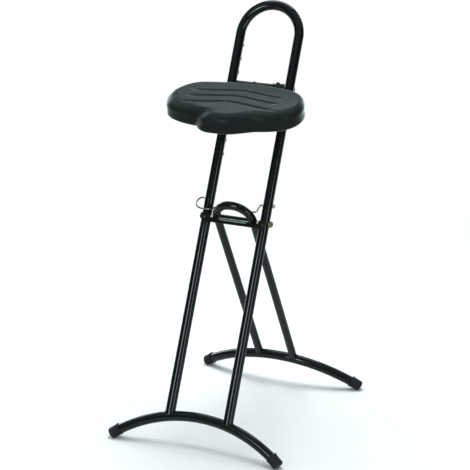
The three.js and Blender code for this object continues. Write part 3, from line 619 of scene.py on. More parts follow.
def plywood(name, dark, middling, light):
    """Birch plywood: grain along the board, and plies that show at its edge."""
    finish = Finish(name)
    grain = finish.noise(scale=40, detail=8, stretch=(1, 9, 9))
    colour = finish.ramp(grain, [(0.3, dark), (0.55, middling), (0.8, light)])
    plies = finish.new("TexWave", {"Vector": finish.place(), "Scale": 210, "Distortion": 0.6},
                       bands_direction="Z")
    shade = finish.ramp(plies.outputs["Fac"], [(0.2, 0.72), (0.8, 1.0)])
    shaded = finish.new("MixRGB", {"Fac": 0.7, "Color1": colour, "Color2": shade}, blend_type="MULTIPLY")
    return finish.made({
        "Base Color": shaded.outputs["Color"],
        "Normal": finish.relief(grain, strength=0.3, distance=0.2 * MM),
        "Roughness": 0.62,
    })


def nylon(name, dark, light):
    """Pale moulded nylon: slightly cloudy, with a soft gloss."""
    finish = Finish(name)
    cloud = finish.noise(scale=90, detail=4)
    tooth = finish.noise(scale=900, detail=3)
    return finish.made({
        "Base Color": finish.ramp(cloud, [(0.3, dark), (0.7, light)]),
        "Normal": finish.relief(tooth, strength=0.12, distance=0.15 * MM),
        "Roughness": 0.42,
        "Subsurface Weight": 0.12,
        "Subsurface Radius": (2 * MM, 2 * MM, 2 * MM),
    })


DRAWN = (1, 6, 6)
PAINT_DARK = (0.0016, 0.0024, 0.0027)
PAINT_LIGHT = (0.0028, 0.004, 0.0044)
BRIGHT_STOPS = [(0.3, (0.3, 0.33, 0.325)), (0.7, (0.4, 0.43, 0.42))]
WIRE_STOPS = [(0.3, (0.24, 0.25, 0.24)), (0.7, (0.35, 0.365, 0.35))]
YELLOW_STOPS = [(0.3, (0.38, 0.35, 0.24)), (0.55, (0.46, 0.42, 0.3)), (0.8, (0.48, 0.41, 0.32))]
FINISHES = {
    "black_paint": paint("black_paint", PAINT_DARK, PAINT_LIGHT, gloss=0.09, dull=0.16),
    "black_rubber": rubber("black_rubber", dark=(0.005, 0.0065, 0.007), light=(0.009, 0.011, 0.0115)),
    "foam_skin": foam_skin("foam_skin", dark=(0.0064, 0.0088, 0.0085), light=(0.0084, 0.0113, 0.0108)),
    "plywood": plywood("plywood", (0.2, 0.135, 0.075), (0.29, 0.21, 0.13), (0.36, 0.27, 0.18)),
    "bright_steel": metal("bright_steel", BRIGHT_STOPS, gloss=0.3, dull=0.42, grain=DRAWN),
    "sleeve_steel_painted_shade": steel_with_painted_shade_top("sleeve_steel_painted_shade", (0.003, 0.004, 0.0045), steel_colour=(0.5, 0.56, 0.54)),
    "wire_steel": metal("wire_steel", WIRE_STOPS, gloss=0.26, dull=0.4, grain=DRAWN),
    "yellow_zinc": metal("yellow_zinc", YELLOW_STOPS, gloss=0.22, dull=0.36),
    "pale_nylon": nylon("pale_nylon", dark=(0.5, 0.52, 0.51), light=(0.6, 0.62, 0.61)),
}


# Making pieces

def put(name, data):
    """A new object in the scene."""
    made = bpy.data.objects.new(name, data)
    bpy.context.scene.collection.objects.link(made)
    return made


def add(name, shape, finish, body, replaces=(), bevel=0.0, bevel_steps=2, floor_cut=False):
    """A piece of the object from its shape: its finish, its body, and the nodes it stands for."""
    mesh = bpy.data.meshes.new(name)
    mesh.from_pydata([tuple(p) for p in shape[0]], [], shape[1])
    work = bmesh.new()
    work.from_mesh(mesh)
    bmesh.ops.remove_doubles(work, verts=work.verts, dist=SAME_PLACE)
    if floor_cut:
        geometry = work.verts[:] + work.edges[:] + work.faces[:]
        cut = bmesh.ops.bisect_plane(work, geom=geometry, plane_co=(0, 0, 0), plane_no=(0, 0, -1),
                                     clear_outer=True)
        edges = [e for e in cut["geom_cut"] if isinstance(e, bmesh.types.BMEdge)]
        bmesh.ops.holes_fill(work, edges=edges)
    bmesh.ops.recalc_face_normals(work, faces=work.faces)
    work.to_mesh(mesh)
    work.free()
    mesh.shade_smooth()
    mesh.set_sharp_from_angle(angle=SHARP_ANGLE)
    mesh.materials.append(FINISHES[finish])
    piece = put(name, mesh)
    if bevel:
        rounding = piece.modifiers.new("edge rounding", "BEVEL")
        rounding.width = bevel
        rounding.segments = bevel_steps
        rounding.limit_method = "ANGLE"
        rounding.angle_limit = SHARP_ANGLE
        rounding.harden_normals = True
    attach(piece, body)
    if replaces:
        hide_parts(*replaces)
    return piece


def arc(plane, radius, centre_up, start, end, steps):
    """Points of an arc in a frame's plane, from one angle off the top to another."""
    return [plane.at(radius * sin(a), centre_up + radius * cos(a)) for a in angles(start, end, steps)]


def bead(path, radius, ripples):
    """A weld bead along a closed path, rippled as it was laid."""
    return swept(path, lambda share: radius * (1 + BEAD_RIPPLE_SHARE * sin(ripples * TURN * share)),
                 BEAD_SIDES, joined=True)


class Foot:
    """A curved foot: its arc in the frame's plane, and what stands on it."""

    def __init__(self, plane, lean, half_width):
        self.plane = plane
        end_up = (FOOT_END_HEIGHT - pivot.z) / cos(lean)
        self.radius = (half_width ** 2 + FOOT_RISE ** 2) / (2 * FOOT_RISE)
        self.centre_up = end_up + FOOT_RISE - self.radius
        self.reach = asin(half_width / self.radius)

    def top_at(self, across):
        return self.centre_up + sqrt(self.radius ** 2 - across ** 2)

    def tube(self):
        reach = self.reach - CAP_END_THICKNESS / self.radius
        path = arc(self.plane, self.radius, self.centre_up, -reach, reach, BEND_STEPS)
        return swept(path, FOOT_TUBE_RADIUS + PAINT_SKIN)

    def cap(self, side):
        angle = side * self.reach
        end = self.plane.at(self.radius * sin(angle), self.centre_up + self.radius * cos(angle))
        inward = X_AXIS * (-side * cos(angle)) + self.plane.up * (side * sin(angle))
        outer = FOOT_TUBE_RADIUS + CONTACT_GAP + CAP_WALL
        lip = outer + CAP_LIP_STEP
        outline = [(0, 0)]
        for turn in angles(0, TURN / 4, CORNER_STEPS):
            outline.append((outer - CAP_EDGE_ROUND * (1 - sin(turn)), CAP_EDGE_ROUND * (1 - cos(turn))))
        for groove in CAP_GROOVES:
            for depth, half in ((0, -CAP_GROOVE_HALF), (CAP_GROOVE_DEPTH, -CAP_GROOVE_FLOOR_HALF),
                                (CAP_GROOVE_DEPTH, CAP_GROOVE_FLOOR_HALF), (0, CAP_GROOVE_HALF)):
                outline.append((outer - depth, groove + half))
        lip_from = CAP_LENGTH - CAP_LIP_LENGTH
        outline += rounded([(outer, lip_from), (lip, lip_from + CAP_LIP_STEP), (lip, CAP_LENGTH),
                            (FOOT_TUBE_RADIUS, CAP_LENGTH)], CAP_LIP_STEP)
        outline.append((FOOT_TUBE_RADIUS - CAP_WALL, CAP_LENGTH))
        return turned(outline, end, inward)

    def weld(self, across, leg_radius):
        """The bead round a leg where it meets the foot."""
        slope = asin(across / self.radius)
        reach = leg_radius + BEAD_RADIUS * BEAD_STAND_SHARE
        path = []
        for turn in around(TURNED_SIDES * 2):
            out, forward = reach * cos(turn), reach * sin(turn)
            rise = sqrt(max(FOOT_TUBE_RADIUS ** 2 - forward ** 2, BEAD_LEAST_RISE ** 2)) / cos(slope)
            path.append(self.plane.at(across + out, self.top_at(across + out) + rise, forward))
        return bead(path, BEAD_RADIUS, BEAD_RIPPLES)


def bent_tube(plane, radius, half_spacing, bend_up, foot):
    """Two parallel legs joined by a half circle, standing on a foot."""
    bottom = foot.top_at(half_spacing) + LEG_END_RISE
    bend = arc(plane, half_spacing, bend_up, -TURN / 4, TURN / 4, BEND_STEPS)
    path = [plane.at(-half_spacing, bottom), *bend, plane.at(half_spacing, bottom)]
    return swept(path, radius + PAINT_SKIN)


def dome_outline(radius, height, recess):
    """The outline of a low round head with a driven recess, from its seat outwards."""
    outline = [(0, 0), (radius - HEAD_EDGE_ROUND, 0), (radius, HEAD_EDGE_ROUND)]
    for angle in angles(0, TURN / 4, CORNER_STEPS):
        spread = radius * cos(angle)
        if spread > recess:
            outline.append((spread, height * (HEAD_RIM_SHARE + (1 - HEAD_RIM_SHARE) * sin(angle))))
    return outline + [(recess, outline[-1][1] + RECESS_LIP),
                      (recess * RECESS_FOOT_SHARE, height * RECESS_WALL_SHARE),
                      (0, height * RECESS_FLOOR_SHARE)]


# Where the carriage stands, and the pegs under its hook bar
guide = middle("guide_bar")
hook = middle("hook_bar")
peg_depth = (FRONT_TUBE_RADIUS + PEG_STANDING) * sin(PEG_ANGLE)
seated_back = FRONT_TUBE_RADIUS + CONTACT_GAP + HOOK_BAR_RADIUS
peg_touch = PEG_RADIUS + CONTACT_GAP + HOOK_BAR_RADIUS
seated_up = (guide - pivot).dot(FRONT.up) + HOOK_RISE
peg_shoulder = seated_up - sqrt(peg_touch ** 2 - (seated_back - peg_depth) ** 2)
first_peg_up = peg_shoulder + PEG_RADIUS - PEG_LENGTH / 2 - PEG_SPACING * SEATED_PEG
loop_centre_up = first_peg_up + PEG_SPACING * (PEG_COUNT - 1) + LOOP_ABOVE_PEGS

# Frames and feet
front_foot = Foot(FRONT, FRONT_LEAN, FRONT_FOOT_HALF_WIDTH)
rear_foot = Foot(REAR, REAR_LEAN, REAR_FOOT_HALF_WIDTH)
add("handle_tube", bent_tube(FRONT, FRONT_TUBE_RADIUS, FRONT_HALF_SPACING, loop_centre_up, front_foot),
    "black_paint", "front_frame", ["handle_frame_tube"])
add("front_foot", front_foot.tube(), "black_paint", "front_frame", ["front_foot_tube"])
add("rear_tube", bent_tube(REAR, REAR_TUBE_RADIUS, REAR_HALF_SPACING, ARCH_CENTRE_UP, rear_foot),
    "black_paint", "rear_frame", ["rear_frame_tube"])
add("rear_foot", rear_foot.tube(), "black_paint", "rear_frame", ["rear_foot_tube"])
feet = [("front", front_foot, FRONT_HALF_SPACING, FRONT_TUBE_RADIUS),
        ("rear", rear_foot, REAR_HALF_SPACING, REAR_TUBE_RADIUS)]
for hand, side in SIDES:
    for end, foot, half_spacing, leg_radius in feet:
        cap, weld = foot.cap(side), foot.weld(side * half_spacing, leg_radius)
        replaced = [f"{end}_{hand}_foot_cap"]
        add(f"{end}_{hand}_cap", cap, "black_rubber", f"{end}_frame", replaced, floor_cut=True)
        add(f"{end}_{hand}_foot_weld", weld, "black_paint", f"{end}_frame")


def peg_row(side, standing, radius, length):
    """A row of pegs with round ends along one tube, their axes at a distance off its wall."""
    straight = length / 2 - radius
    quarter = angles(0, TURN / 4, CORNER_STEPS)
    outline = [(radius * sin(a), -straight - radius * cos(a)) for a in quarter]
    outline += [(radius * cos(a), straight + radius * sin(a)) for a in quarter]
    out = FRONT_TUBE_RADIUS + standing
    across, forward = side * (FRONT_HALF_SPACING - out * cos(PEG_ANGLE)), -out * sin(PEG_ANGLE)
    places = [FRONT.at(across, first_peg_up + PEG_SPACING * row, forward) for row in range(PEG_COUNT)]
    return merged(*(turned(outline, place, FRONT.up, PEG_SIDES) for place in places))


for hand, side in SIDES:
    pegs = peg_row(side, PEG_STANDING, PEG_RADIUS, PEG_LENGTH)
    welds = peg_row(side, -PEG_WELD_SINK, PEG_WELD_RADIUS, PEG_WELD_LENGTH)
    replaced = [f"{hand}_height_peg_{row + 1}" for row in range(PEG_COUNT)]
    add(f"{hand}_height_pegs", pegs, "black_paint", "front_frame", replaced)
    add(f"{hand}_peg_welds", welds, "black_paint", "front_frame")

# Stop strap and its screws
strap_back = FRONT_TUBE_RADIUS + CONTACT_GAP
open_angle = FRONT_LEAN + REAR_LEAN
strap_top = -(REAR_TUBE_RADIUS + CONTACT_GAP - strap_back * cos(open_angle)) / sin(open_angle)
strap_bottom = strap_top - STRAP_WIDTH


def strap_outline():
    """The band with a round eye at each end."""
    upper_turn = asin((strap_top + STRAP_EYE_DOWN) / STRAP_EYE_RADIUS)
    eye = angles(-STRAP_EYE_FROM, TURN / 2 - upper_turn, 3 * CORNER_STEPS)
    right = [(FRONT_HALF_SPACING + STRAP_EYE_RADIUS * cos(a), -STRAP_EYE_DOWN + STRAP_EYE_RADIUS * sin(a))
             for a in eye]
    shoulder = STRAP_WAIST_HALF + STRAP_WAIST_RAMP
    right += [(shoulder, strap_top), (STRAP_WAIST_HALF, strap_bottom + STRAP_WAIST_WIDTH)]
    left = [(-a, b) for a, b in reversed(right)]
    return [(-FRONT_HALF_SPACING, strap_bottom), (FRONT_HALF_SPACING, strap_bottom), *right, *left]


strap = plate(strap_outline(), STRAP_THICKNESS, lambda a, b, depth: FRONT.at(a, b, strap_back + depth))
add("front_stop_strap", strap, "black_paint", "front_frame", ["stop_strap"],
    bevel=STRAP_EDGE_ROUND, bevel_steps=3)
for hand, side in SIDES:
    under = FRONT.at(side * FRONT_HALF_SPACING, -STRAP_EYE_DOWN, strap_back + STRAP_THICKNESS + CONTACT_GAP)
    head = dome_outline(STRAP_SCREW_HEAD_RADIUS, STRAP_SCREW_HEAD_HEIGHT, STRAP_SCREW_RECESS_RADIUS)
    add(f"{hand}_strap_bolt", turned(head, under, FRONT.forward), "black_paint", "front_frame",
        [f"{hand}_strap_screw"])

# Pivot stack
frame_outer = FRONT_HALF_SPACING + FRONT_TUBE_RADIUS + CONTACT_GAP
nut_inner = frame_outer + WASHER_THICKNESS + CONTACT_GAP
axle_end = nut_inner + NUT_THICKNESS + AXLE_END_LENGTH
head_outline = dome_outline(AXLE_HEAD_RADIUS, AXLE_HEAD_HEIGHT, AXLE_RECESS_RADIUS)
thread = [(0, -frame_outer), (AXLE_RADIUS, -frame_outer), (AXLE_RADIUS, nut_inner)]
at = nut_inner
while at < axle_end - THREAD_PITCH:
    thread += [(AXLE_RADIUS, at + THREAD_PITCH * THREAD_CREST_SHARE),
               (AXLE_RADIUS - THREAD_DEPTH, at + THREAD_PITCH / 2),
               (AXLE_RADIUS, at + THREAD_PITCH * (1 - THREAD_CREST_SHARE))]
    at += THREAD_PITCH
thread += [(AXLE_RADIUS - THREAD_DEPTH, axle_end), (0, axle_end)]
axle = merged(turned(head_outline, FRONT.at(-frame_outer, 0), -X_AXIS), turned(thread, pivot, X_AXIS))
add("pivot_bolt", axle, "black_paint", "front_frame", ["pivot_axle"])
washer = collar(AXLE_RADIUS, WASHER_RADIUS, 0, WASHER_THICKNESS, WASHER_EDGE_ROUND)
add("pivot_plain_washer", turned(washer, FRONT.at(frame_outer, 0), X_AXIS), "yellow_zinc", "front_frame",
    ["pivot_washer"])


def hex_nut(start):
    """The nut on the pivot bolt, with its corners turned down at both faces."""
    side = X_AXIS.cross(FRONT.up)
    flat = NUT_RADIUS * cos(TURN / 12)
    reaches = [(0, flat), (NUT_CHAMFER_SHARE, NUT_RADIUS), (1 - NUT_CHAMFER_SHARE, NUT_RADIUS), (1, flat)]
    rings = []
    for share, reach in reaches:
        centre = start + X_AXIS * (NUT_THICKNESS * share)
        ring = []
        for angle in around(NUT_STEPS):
            r = min(flat / cos((angle + TURN / 12) % (TURN / 6) - TURN / 12), reach)
            ring.append(centre + FRONT.up * (r * cos(angle + NUT_TURN)) + side * (r * sin(angle + NUT_TURN)))
        rings.append(ring)
    return rings_to_shape(rings)


add("pivot_hex_nut", hex_nut(FRONT.at(nut_inner, 0)), "yellow_zinc", "front_frame", ["pivot_nut"])
spacer_inner = REAR_HALF_SPACING + REAR_TUBE_RADIUS + CONTACT_GAP
spacer_outer = FRONT_HALF_SPACING - FRONT_TUBE_RADIUS - CONTACT_GAP
spacer = collar(AXLE_RADIUS, SPACER_RADIUS, 0, spacer_outer - spacer_inner, SPACER_EDGE_ROUND)
for hand, side in SIDES:
    add(f"{hand}_spacer_ring", turned(spacer, FRONT.at(side * spacer_inner, 0), X_AXIS * side),
        "pale_nylon", "front_frame", [f"{hand}_spacer"])
sleeve_half = REAR_HALF_SPACING - REAR_TUBE_RADIUS / 2
# The sleeve's black upper half is painted shade; its lower half is bare steel.
add("pivot_sleeve", swept([REAR.at(-sleeve_half, 0), REAR.at(sleeve_half, 0)], SLEEVE_RADIUS),
    "sleeve_steel_painted_shade", "rear_frame", ["axle_sleeve"])
for hand, side in SIDES:
    reach = REAR_HALF_SPACING - REAR_TUBE_RADIUS
    ring = []
    for angle in around(RING_STEPS):
        up, forward = SLEEVE_RADIUS * cos(angle), SLEEVE_RADIUS * sin(angle)
        bow = REAR_TUBE_RADIUS - sqrt(REAR_TUBE_RADIUS ** 2 - forward ** 2)
        ring.append(REAR.at(side * (reach + bow), up, forward))
    weld = bead(ring, SLEEVE_BEAD_RADIUS, SLEEVE_BEAD_RIPPLES)
    add(f"{hand}_sleeve_weld", weld, "black_paint", "rear_frame")

# Catch wire, in shares of the arch's half spacing or the loop's reach, of its drop and of its reach forward
CATCH_CROSS_SHARES = [
    (1.46, 0, 0), (1.35, 0.01, 0), (1.22, 0.08, 0.14), (1.14, 0.31, 0.14), (1.1, 0.53, 0.22), (1, 0.69, 0.26),
    (0.88, 0.68, 0.29), (0.22, 0.71, 0.36), (-0.45, 0.71, 0.4), (-0.86, 0.71, 0.42), (-1.17, 0.73, 0.44),
    (-1.27, 0.86, 0.65), (-1.4, 0.96, 0.93),
]
CATCH_LOOP_SHARES = [
    (0.19, 1, 1), (0.5, 0.94, 0.86), (0.76, 0.785, 0.5), (0.92, 0.5, 0), (0.9, 0.185, -0.5),
    (0.76, -0.02, -0.86), (0.49, -0.02, -1), (0, -0.02, -1), (-0.2, -0.02, -0.98),
]
wire_round = FRONT_TUBE_RADIUS + WIRE_RADIUS + CATCH_SLACK
wire_points = [FRONT.at(frame_outer + CATCH_NUT_LENGTH / 2, CATCH_UP)]
wire_points += [FRONT.at(across * REAR_HALF_SPACING, CATCH_UP - drop * CATCH_DROP, forward * wire_round)
                for across, drop, forward in CATCH_CROSS_SHARES]
wire_points += [FRONT.at(-FRONT_HALF_SPACING - reach * CATCH_LOOP_REACH, CATCH_UP - drop * CATCH_DROP,
                         forward * wire_round) for reach, drop, forward in CATCH_LOOP_SHARES]


def wire_radius(share):
    """The wire's own radius, rounded off at its free end."""
    left = min((1 - share) * WIRE_STEPS / WIRE_END_STEPS, 1)
    return WIRE_RADIUS * sqrt(1 - (1 - left) ** 2) + WIRE_LEAST_RADIUS


wire = swept(catmull(wire_points, WIRE_STEPS), wire_radius, WIRE_SIDES)
add("catch_spring_wire", wire, "wire_steel", "catch", ["wire_catch"])
push_nut = rounded([(0, 0), (CATCH_NUT_RADIUS, 0), (CATCH_NUT_RADIUS, CATCH_NUT_SHOULDER),
                    (CATCH_NUT_TIP_RADIUS, CATCH_NUT_LENGTH), (0, CATCH_NUT_LENGTH)], CATCH_NUT_ROUND)
add("catch_end_nut", turned(push_nut, FRONT.at(frame_outer, CATCH_UP), X_AXIS), "yellow_zinc", "catch",
    ["catch_push_nut"])

# Carriage bars

def bar(centre, radius, half):
    """A bar across the stool."""
    return turned(collar(0, radius, -half, half, BAR_EDGE_ROUND), centre, X_AXIS)


def guide_cap(side):
    """The push-on cap on one end of the guide bar."""
    outer = GUIDE_BAR_RADIUS + CONTACT_GAP + GUIDE_CAP_WALL
    end = GUIDE_BAR_HALF_LENGTH + CONTACT_GAP + GUIDE_CAP_WALL
    outline = rounded([(0, end), (outer, end), (outer, end - GUIDE_CAP_LENGTH),
                       (GUIDE_BAR_RADIUS, end - GUIDE_CAP_LENGTH)], GUIDE_CAP_ROUND, CAP_STEPS)
    return turned(outline, guide, X_AXIS * side)


def hook_cap(side):
    """The plug in one end of the hook bar, with a head as thick as the bar."""
    face = HOOK_BAR_HALF_LENGTH + CONTACT_GAP
    end = face + HOOK_CAP_THICKNESS
    head = rounded([(HOOK_PLUG_RADIUS, face), (HOOK_BAR_RADIUS, face), (HOOK_BAR_RADIUS, end), (0, end)],
                   HOOK_CAP_ROUND, CAP_STEPS)
    plug = [(0, face - HOOK_PLUG_LENGTH), (HOOK_PLUG_RADIUS, face - HOOK_PLUG_LENGTH)]
    return turned(plug + head, hook, X_AXIS * side)


add("guide_rod", bar(guide, GUIDE_BAR_RADIUS, GUIDE_BAR_HALF_LENGTH), "black_paint", "guide", ["guide_bar"])
add("hook_rod", bar(hook, HOOK_BAR_RADIUS, HOOK_BAR_HALF_LENGTH), "black_paint", "seat", ["hook_bar"])
roller = collar(GUIDE_BAR_RADIUS, GUIDE_SLEEVE_RADIUS, -GUIDE_SLEEVE_HALF_LENGTH, GUIDE_SLEEVE_HALF_LENGTH,
                GUIDE_SLEEVE_ROUND, CAP_STEPS)
for hand, side in SIDES:
    add(f"{hand}_guide_rod_cap", guide_cap(side), "black_rubber", "guide", [f"{hand}_guide_bar_cap"])
    add(f"{hand}_hook_rod_cap", hook_cap(side), "black_rubber", "seat", [f"{hand}_hook_bar_cap"])
    add(f"{hand}_guide_roller", turned(roller, guide + X_AXIS * (side * FRONT_HALF_SPACING), X_AXIS),
        "black_rubber", "guide", [f"{hand}_guide_sleeve"])


def grip_ring(share):
    """One ring of the thumb grip: a thumb rest at its inner end, then soft ribs, with both ends drawn in."""
    length = GRIP_OUTER - GRIP_INNER
    along = length * share
    thumb = 1 / (1 + exp((along - GRIP_THUMB_WIDTH) / GRIP_THUMB_EASE))
    rib = GRIP_RIB_HEIGHT * (1 + cos(TURN * along / GRIP_RIB_PITCH)) / 2
    to_end = min(along, length - along)
    drawn = 1 - GRIP_END_SHARE * max(0, 1 - to_end / GRIP_END_LENGTH) ** 2
    radius = (HOOK_BAR_RADIUS + CONTACT_GAP + GRIP_WALL - rib * (1 - thumb)) * drawn
    ring = []
    for angle in around(RING_STEPS):
        lift = GRIP_THUMB_REACH * thumb * max(cos(angle), 0)
        ring.append(hook + Vector((GRIP_INNER + along, radius * sin(angle), radius * cos(angle) + lift)))
    return ring


grip = rings_to_shape([grip_ring(share) for share in GRIP_RING_SHARES])
add("hook_thumb_grip", grip, "black_rubber", "seat", ["thumb_grip"])

# Seat
seat_rise = Vector((0, -sin(SEAT_TILT), cos(SEAT_TILT)))
seat_back = Vector((0, cos(SEAT_TILT), sin(SEAT_TILT)))
seat_foot = guide + Vector((0, -SEAT_AHEAD_OF_GUIDE, SEAT_ABOVE_GUIDE)) - seat_rise * SEAT_THICKNESS
board_bottom = BOARD_RECESS - BOARD_THICKNESS
carrier_bottom = board_bottom - CONTACT_GAP - CARRIER_THICKNESS
cheek_top = carrier_bottom - CONTACT_GAP

SEAT_OUTLINE_SHARES = [
    (0, 1), (0.22, 0.98), (0.4, 0.925), (0.58, 0.86), (0.73, 0.775), (0.86, 0.585), (0.955, 0.256),
    (1, -0.09), (0.985, -0.37), (0.895, -0.64), (0.715, -0.83), (0.485, -0.94), (0.24, -0.99), (0, -1),
]


def on_seat(across, back, rise):
    """A place in the seat's own axes, as a point of the row frame."""
    return seat_foot + X_AXIS * across + seat_back * back + seat_rise * rise


def seat_outline():
    """The seat's outline without its nose, evenly spaced all the way round."""
    half = [Vector((a * SEAT_HALF_WIDTH, b * (SEAT_REAR_REACH if b > 0 else SEAT_FRONT_REACH), 0))
            for a, b in SEAT_OUTLINE_SHARES]
    mirrored = [Vector((-p.x, p.y, 0)) for p in reversed(half[1:-1])]
    return catmull(half + mirrored, SEAT_AROUND, closed=True)


def nose_reach(across, height_share):
    """How far the nose stands out of the front."""
    flank = NOSE_LEFT if across < 0 else NOSE_RIGHT
    half_width = flank["half_width"] * (1 - (1 - flank["top_share"]) * height_share ** 2)
    away = min(abs(across) / half_width, 1)
    fullness = 1 - (1 - NOSE_TOP_SHARE) * height_share ** 2
    return NOSE_REACH * fullness * (1 - away ** flank["squareness"]) ** flank["softness"]


plain_outline = seat_outline()
board_outline = [(p.x * BOARD_SHARE, p.y * BOARD_SHARE) for p in plain_outline]


def shoulder_spread(across, back):
    """How much further the top's round reaches in at a place, beside the nose."""
    front = max(0.0, min(1.0, -back / SHOULDER_FRONT))
    beside = soft_step((abs(across) - NOSE_RIGHT["half_width"] + SHOULDER_RUN / 2) / SHOULDER_RUN)
    return 1 + front * beside * (SHOULDER_LEFT_SPREAD if across < 0 else SHOULDER_RIGHT_SPREAD)


def seat_ring(inset, height, spread=False):
    """One ring of the skin, drawn in from the outline at a height, and further on a spread shoulder."""
    share = height / SEAT_THICKNESS
    outline = [Vector((p.x, p.y - (nose_reach(p.x, share) if p.y < 0 else 0))) for p in plain_outline]
    ring = []
    for i, p in enumerate(outline):
        along = (outline[(i + 1) % len(outline)] - outline[i - 1]).normalized()
        drawn = inset * (shoulder_spread(p.x, p.y) if spread else 1)
        across = p.x + along.y * drawn
        stretch = SEAT_LEFT_STRETCH if across < 0 else 1
        ring.append((across * stretch + SEAT_SHIFT, p.y - along.x * drawn, height))
    return ring


def channel_bow(across):
    """How far a channel has run forward at a place across: a soft apex, then flattening to its end."""
    u = min(abs(across) / CHANNEL_HALF_LENGTH, 1)
    full = hypot(1, CHANNEL_APEX_SHARE) - CHANNEL_APEX_SHARE
    u = (hypot(u, CHANNEL_APEX_SHARE) - CHANNEL_APEX_SHARE) / full
    return CHANNEL_BOW * (1 - (1 - u) ** 2)


def channel_depth(across, back):
    """How deep the three channels are pressed at a place, and how far the pads between them swell."""
    fade = soft_step((CHANNEL_HALF_LENGTH - abs(across)) / CHANNEL_RUN_OUT)
    depth = 0.0
    for row in range(CHANNEL_COUNT):
        line = REAR_CHANNEL_BACK - CHANNEL_SPACING * row - channel_bow(across)
        away = abs(back - line)
        groove = max(0.0, 1 - (away / CHANNEL_HALF_GIRTH) ** 2) ** 2
        swell = exp(-((away - PAD_SWELL_AWAY) / PAD_SWELL_REACH) ** 2)
        depth += fade * (CHANNEL_DEPTH * groove - PAD_SWELL * swell)
    return depth


def crown_rise(across, back, share):
    """How far the crowned top stands above its edge, at a place that is a share of the way out to it."""
    half_width = SEAT_HALF_WIDTH - SEAT_TOP_ROUND
    reach = (SEAT_REAR_REACH if back > 0 else SEAT_FRONT_REACH + NOSE_REACH / 2) - SEAT_TOP_ROUND
    dome = max(0, 1 - (across / half_width) ** 2 - (back / reach) ** 2)
    inward = soft_step((1 - share) / CROWN_EASE_SHARE)
    return SEAT_CROWN * ((1 - share ** 2) * (1 - inward) + dome * inward)


def seat_shape():
    """The seat's skin: recessed below, with drawn-in sides, a round edge, and a crowned, channelled top."""
    rings = [[(x, y, height) for x, y in board_outline] for height in (BOARD_RECESS + CONTACT_GAP, 0)]
    for turn in angles(0, TURN / 4, CORNER_STEPS):
        rings.append(seat_ring(SEAT_BOTTOM_ROUND * (1 - sin(turn)), SEAT_BOTTOM_ROUND * (1 - cos(turn))))
    edge_top = SEAT_THICKNESS - SEAT_CROWN
    edge_foot = edge_top - SEAT_TOP_ROUND
    for i in range(1, SEAT_SIDE_RINGS):
        share = i / SEAT_SIDE_RINGS
        height = SEAT_BOTTOM_ROUND + (edge_foot - SEAT_BOTTOM_ROUND) * share
        parting = PARTING_STAND * max(0, 1 - (abs(height - PARTING_HEIGHT) / PARTING_HALF) ** 2)
        rings.append(seat_ring(SEAT_DRAW_IN * sin(pi * share) - parting, height))
    for turn in angles(0, TURN / 4, 3 * CORNER_STEPS):
        rings.append(seat_ring(SEAT_TOP_ROUND * (1 - cos(turn)), edge_foot + SEAT_TOP_ROUND * sin(turn),
                               spread=True))
    channelled_from = len(rings) - CHANNEL_EDGE_RINGS
    edge = rings[-1]
    for i in range(1, SEAT_TOP_RINGS):
        share = 1 - i / SEAT_TOP_RINGS
        places = [(x * share, y * share) for x, y, _ in edge]
        rings.append([(x, y, edge_top + crown_rise(x, y, share)) for x, y in places])
    made = [[on_seat(*p) for p in ring] for ring in rings[:channelled_from]]
    made += [[on_seat(x, y, z - channel_depth(x, y)) for x, y, z in ring] for ring in rings[channelled_from:]]
    points, faces = rings_to_shape(made, closed_ends=False)
    top_centre = len(points)
    points.append(on_seat(0, 0, SEAT_THICKNESS - channel_depth(0, 0)))
    last = top_centre - SEAT_AROUND
    faces += [(last + i, last + (i + 1) % SEAT_AROUND, top_centre) for i in range(SEAT_AROUND)]
    faces.append(tuple(reversed(range(SEAT_AROUND))))
    return points, faces


pad = add("seat_cushion", seat_shape(), "foam_skin", "seat", ["seat_pad"])

board = plate(board_outline[::BOARD_POINT_STEP], BOARD_THICKNESS,
              lambda a, b, depth: on_seat(a, b, board_bottom + depth))
add("seat_plywood", board, "plywood", "seat", ["seat_board"], bevel=BOARD_EDGE_ROUND)


def cheek_outline():
    """A cheek from under the seat down to a boss round each bar, as (y, z) points."""
    def seat_point(back, rise):
        place = on_seat(0, back, rise)
        return place.y, place.z

    rise = atan2(hook.z - guide.z, hook.y - guide.y)
    outline = [seat_point(CHEEK_REAR_REACH, cheek_top), seat_point(-CHEEK_FRONT_REACH, cheek_top),
               seat_point(-CHEEK_FRONT_REACH, cheek_top - CHEEK_NOSE_DEPTH)]
    front_boss = angles(-TURN / 4 - SEAT_TILT, rise - TURN / 4, 3 * CORNER_STEPS)
    rear_boss = angles(rise - TURN / 4, rise + TURN / 4, 4 * CORNER_STEPS)
    for centre, radius, boss in ((guide, GUIDE_BOSS_RADIUS, front_boss), (hook, HOOK_BOSS_RADIUS, rear_boss)):
        outline += [(centre.y + radius * cos(a), centre.z + radius * sin(a)) for a in boss]
    return outline


for hand, side in SIDES:
    inner = side * CHEEK_HALF_SPACING - CHEEK_THICKNESS / 2
    cheek = plate(cheek_outline(), CHEEK_THICKNESS, lambda a, b, depth: Vector((inner + depth, a, b)))
    add(f"{hand}_cheek", cheek, "black_paint", "seat", [f"{hand}_cheek_plate"], bevel=CHEEK_EDGE_ROUND)


# Carried-over nodes keep their shape and take their finish here
CARRIED_OVER = {"seat_carrier_plate": "black_paint"}
CARRIED_OVER |= {f"seat_screw_{i + 1}": "bright_steel" for i in range(SEAT_SCREW_COUNT)}
for node, finish in CARRIED_OVER.items():
    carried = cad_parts[node]
    carried.data.materials.clear()
    carried.data.materials.append(FINISHES[finish])


# Camera and lamps

def aim_at(thing, target):
    thing.rotation_mode = "QUATERNION"
    thing.rotation_quaternion = (target - thing.location).to_track_quat("-Z", "Y")


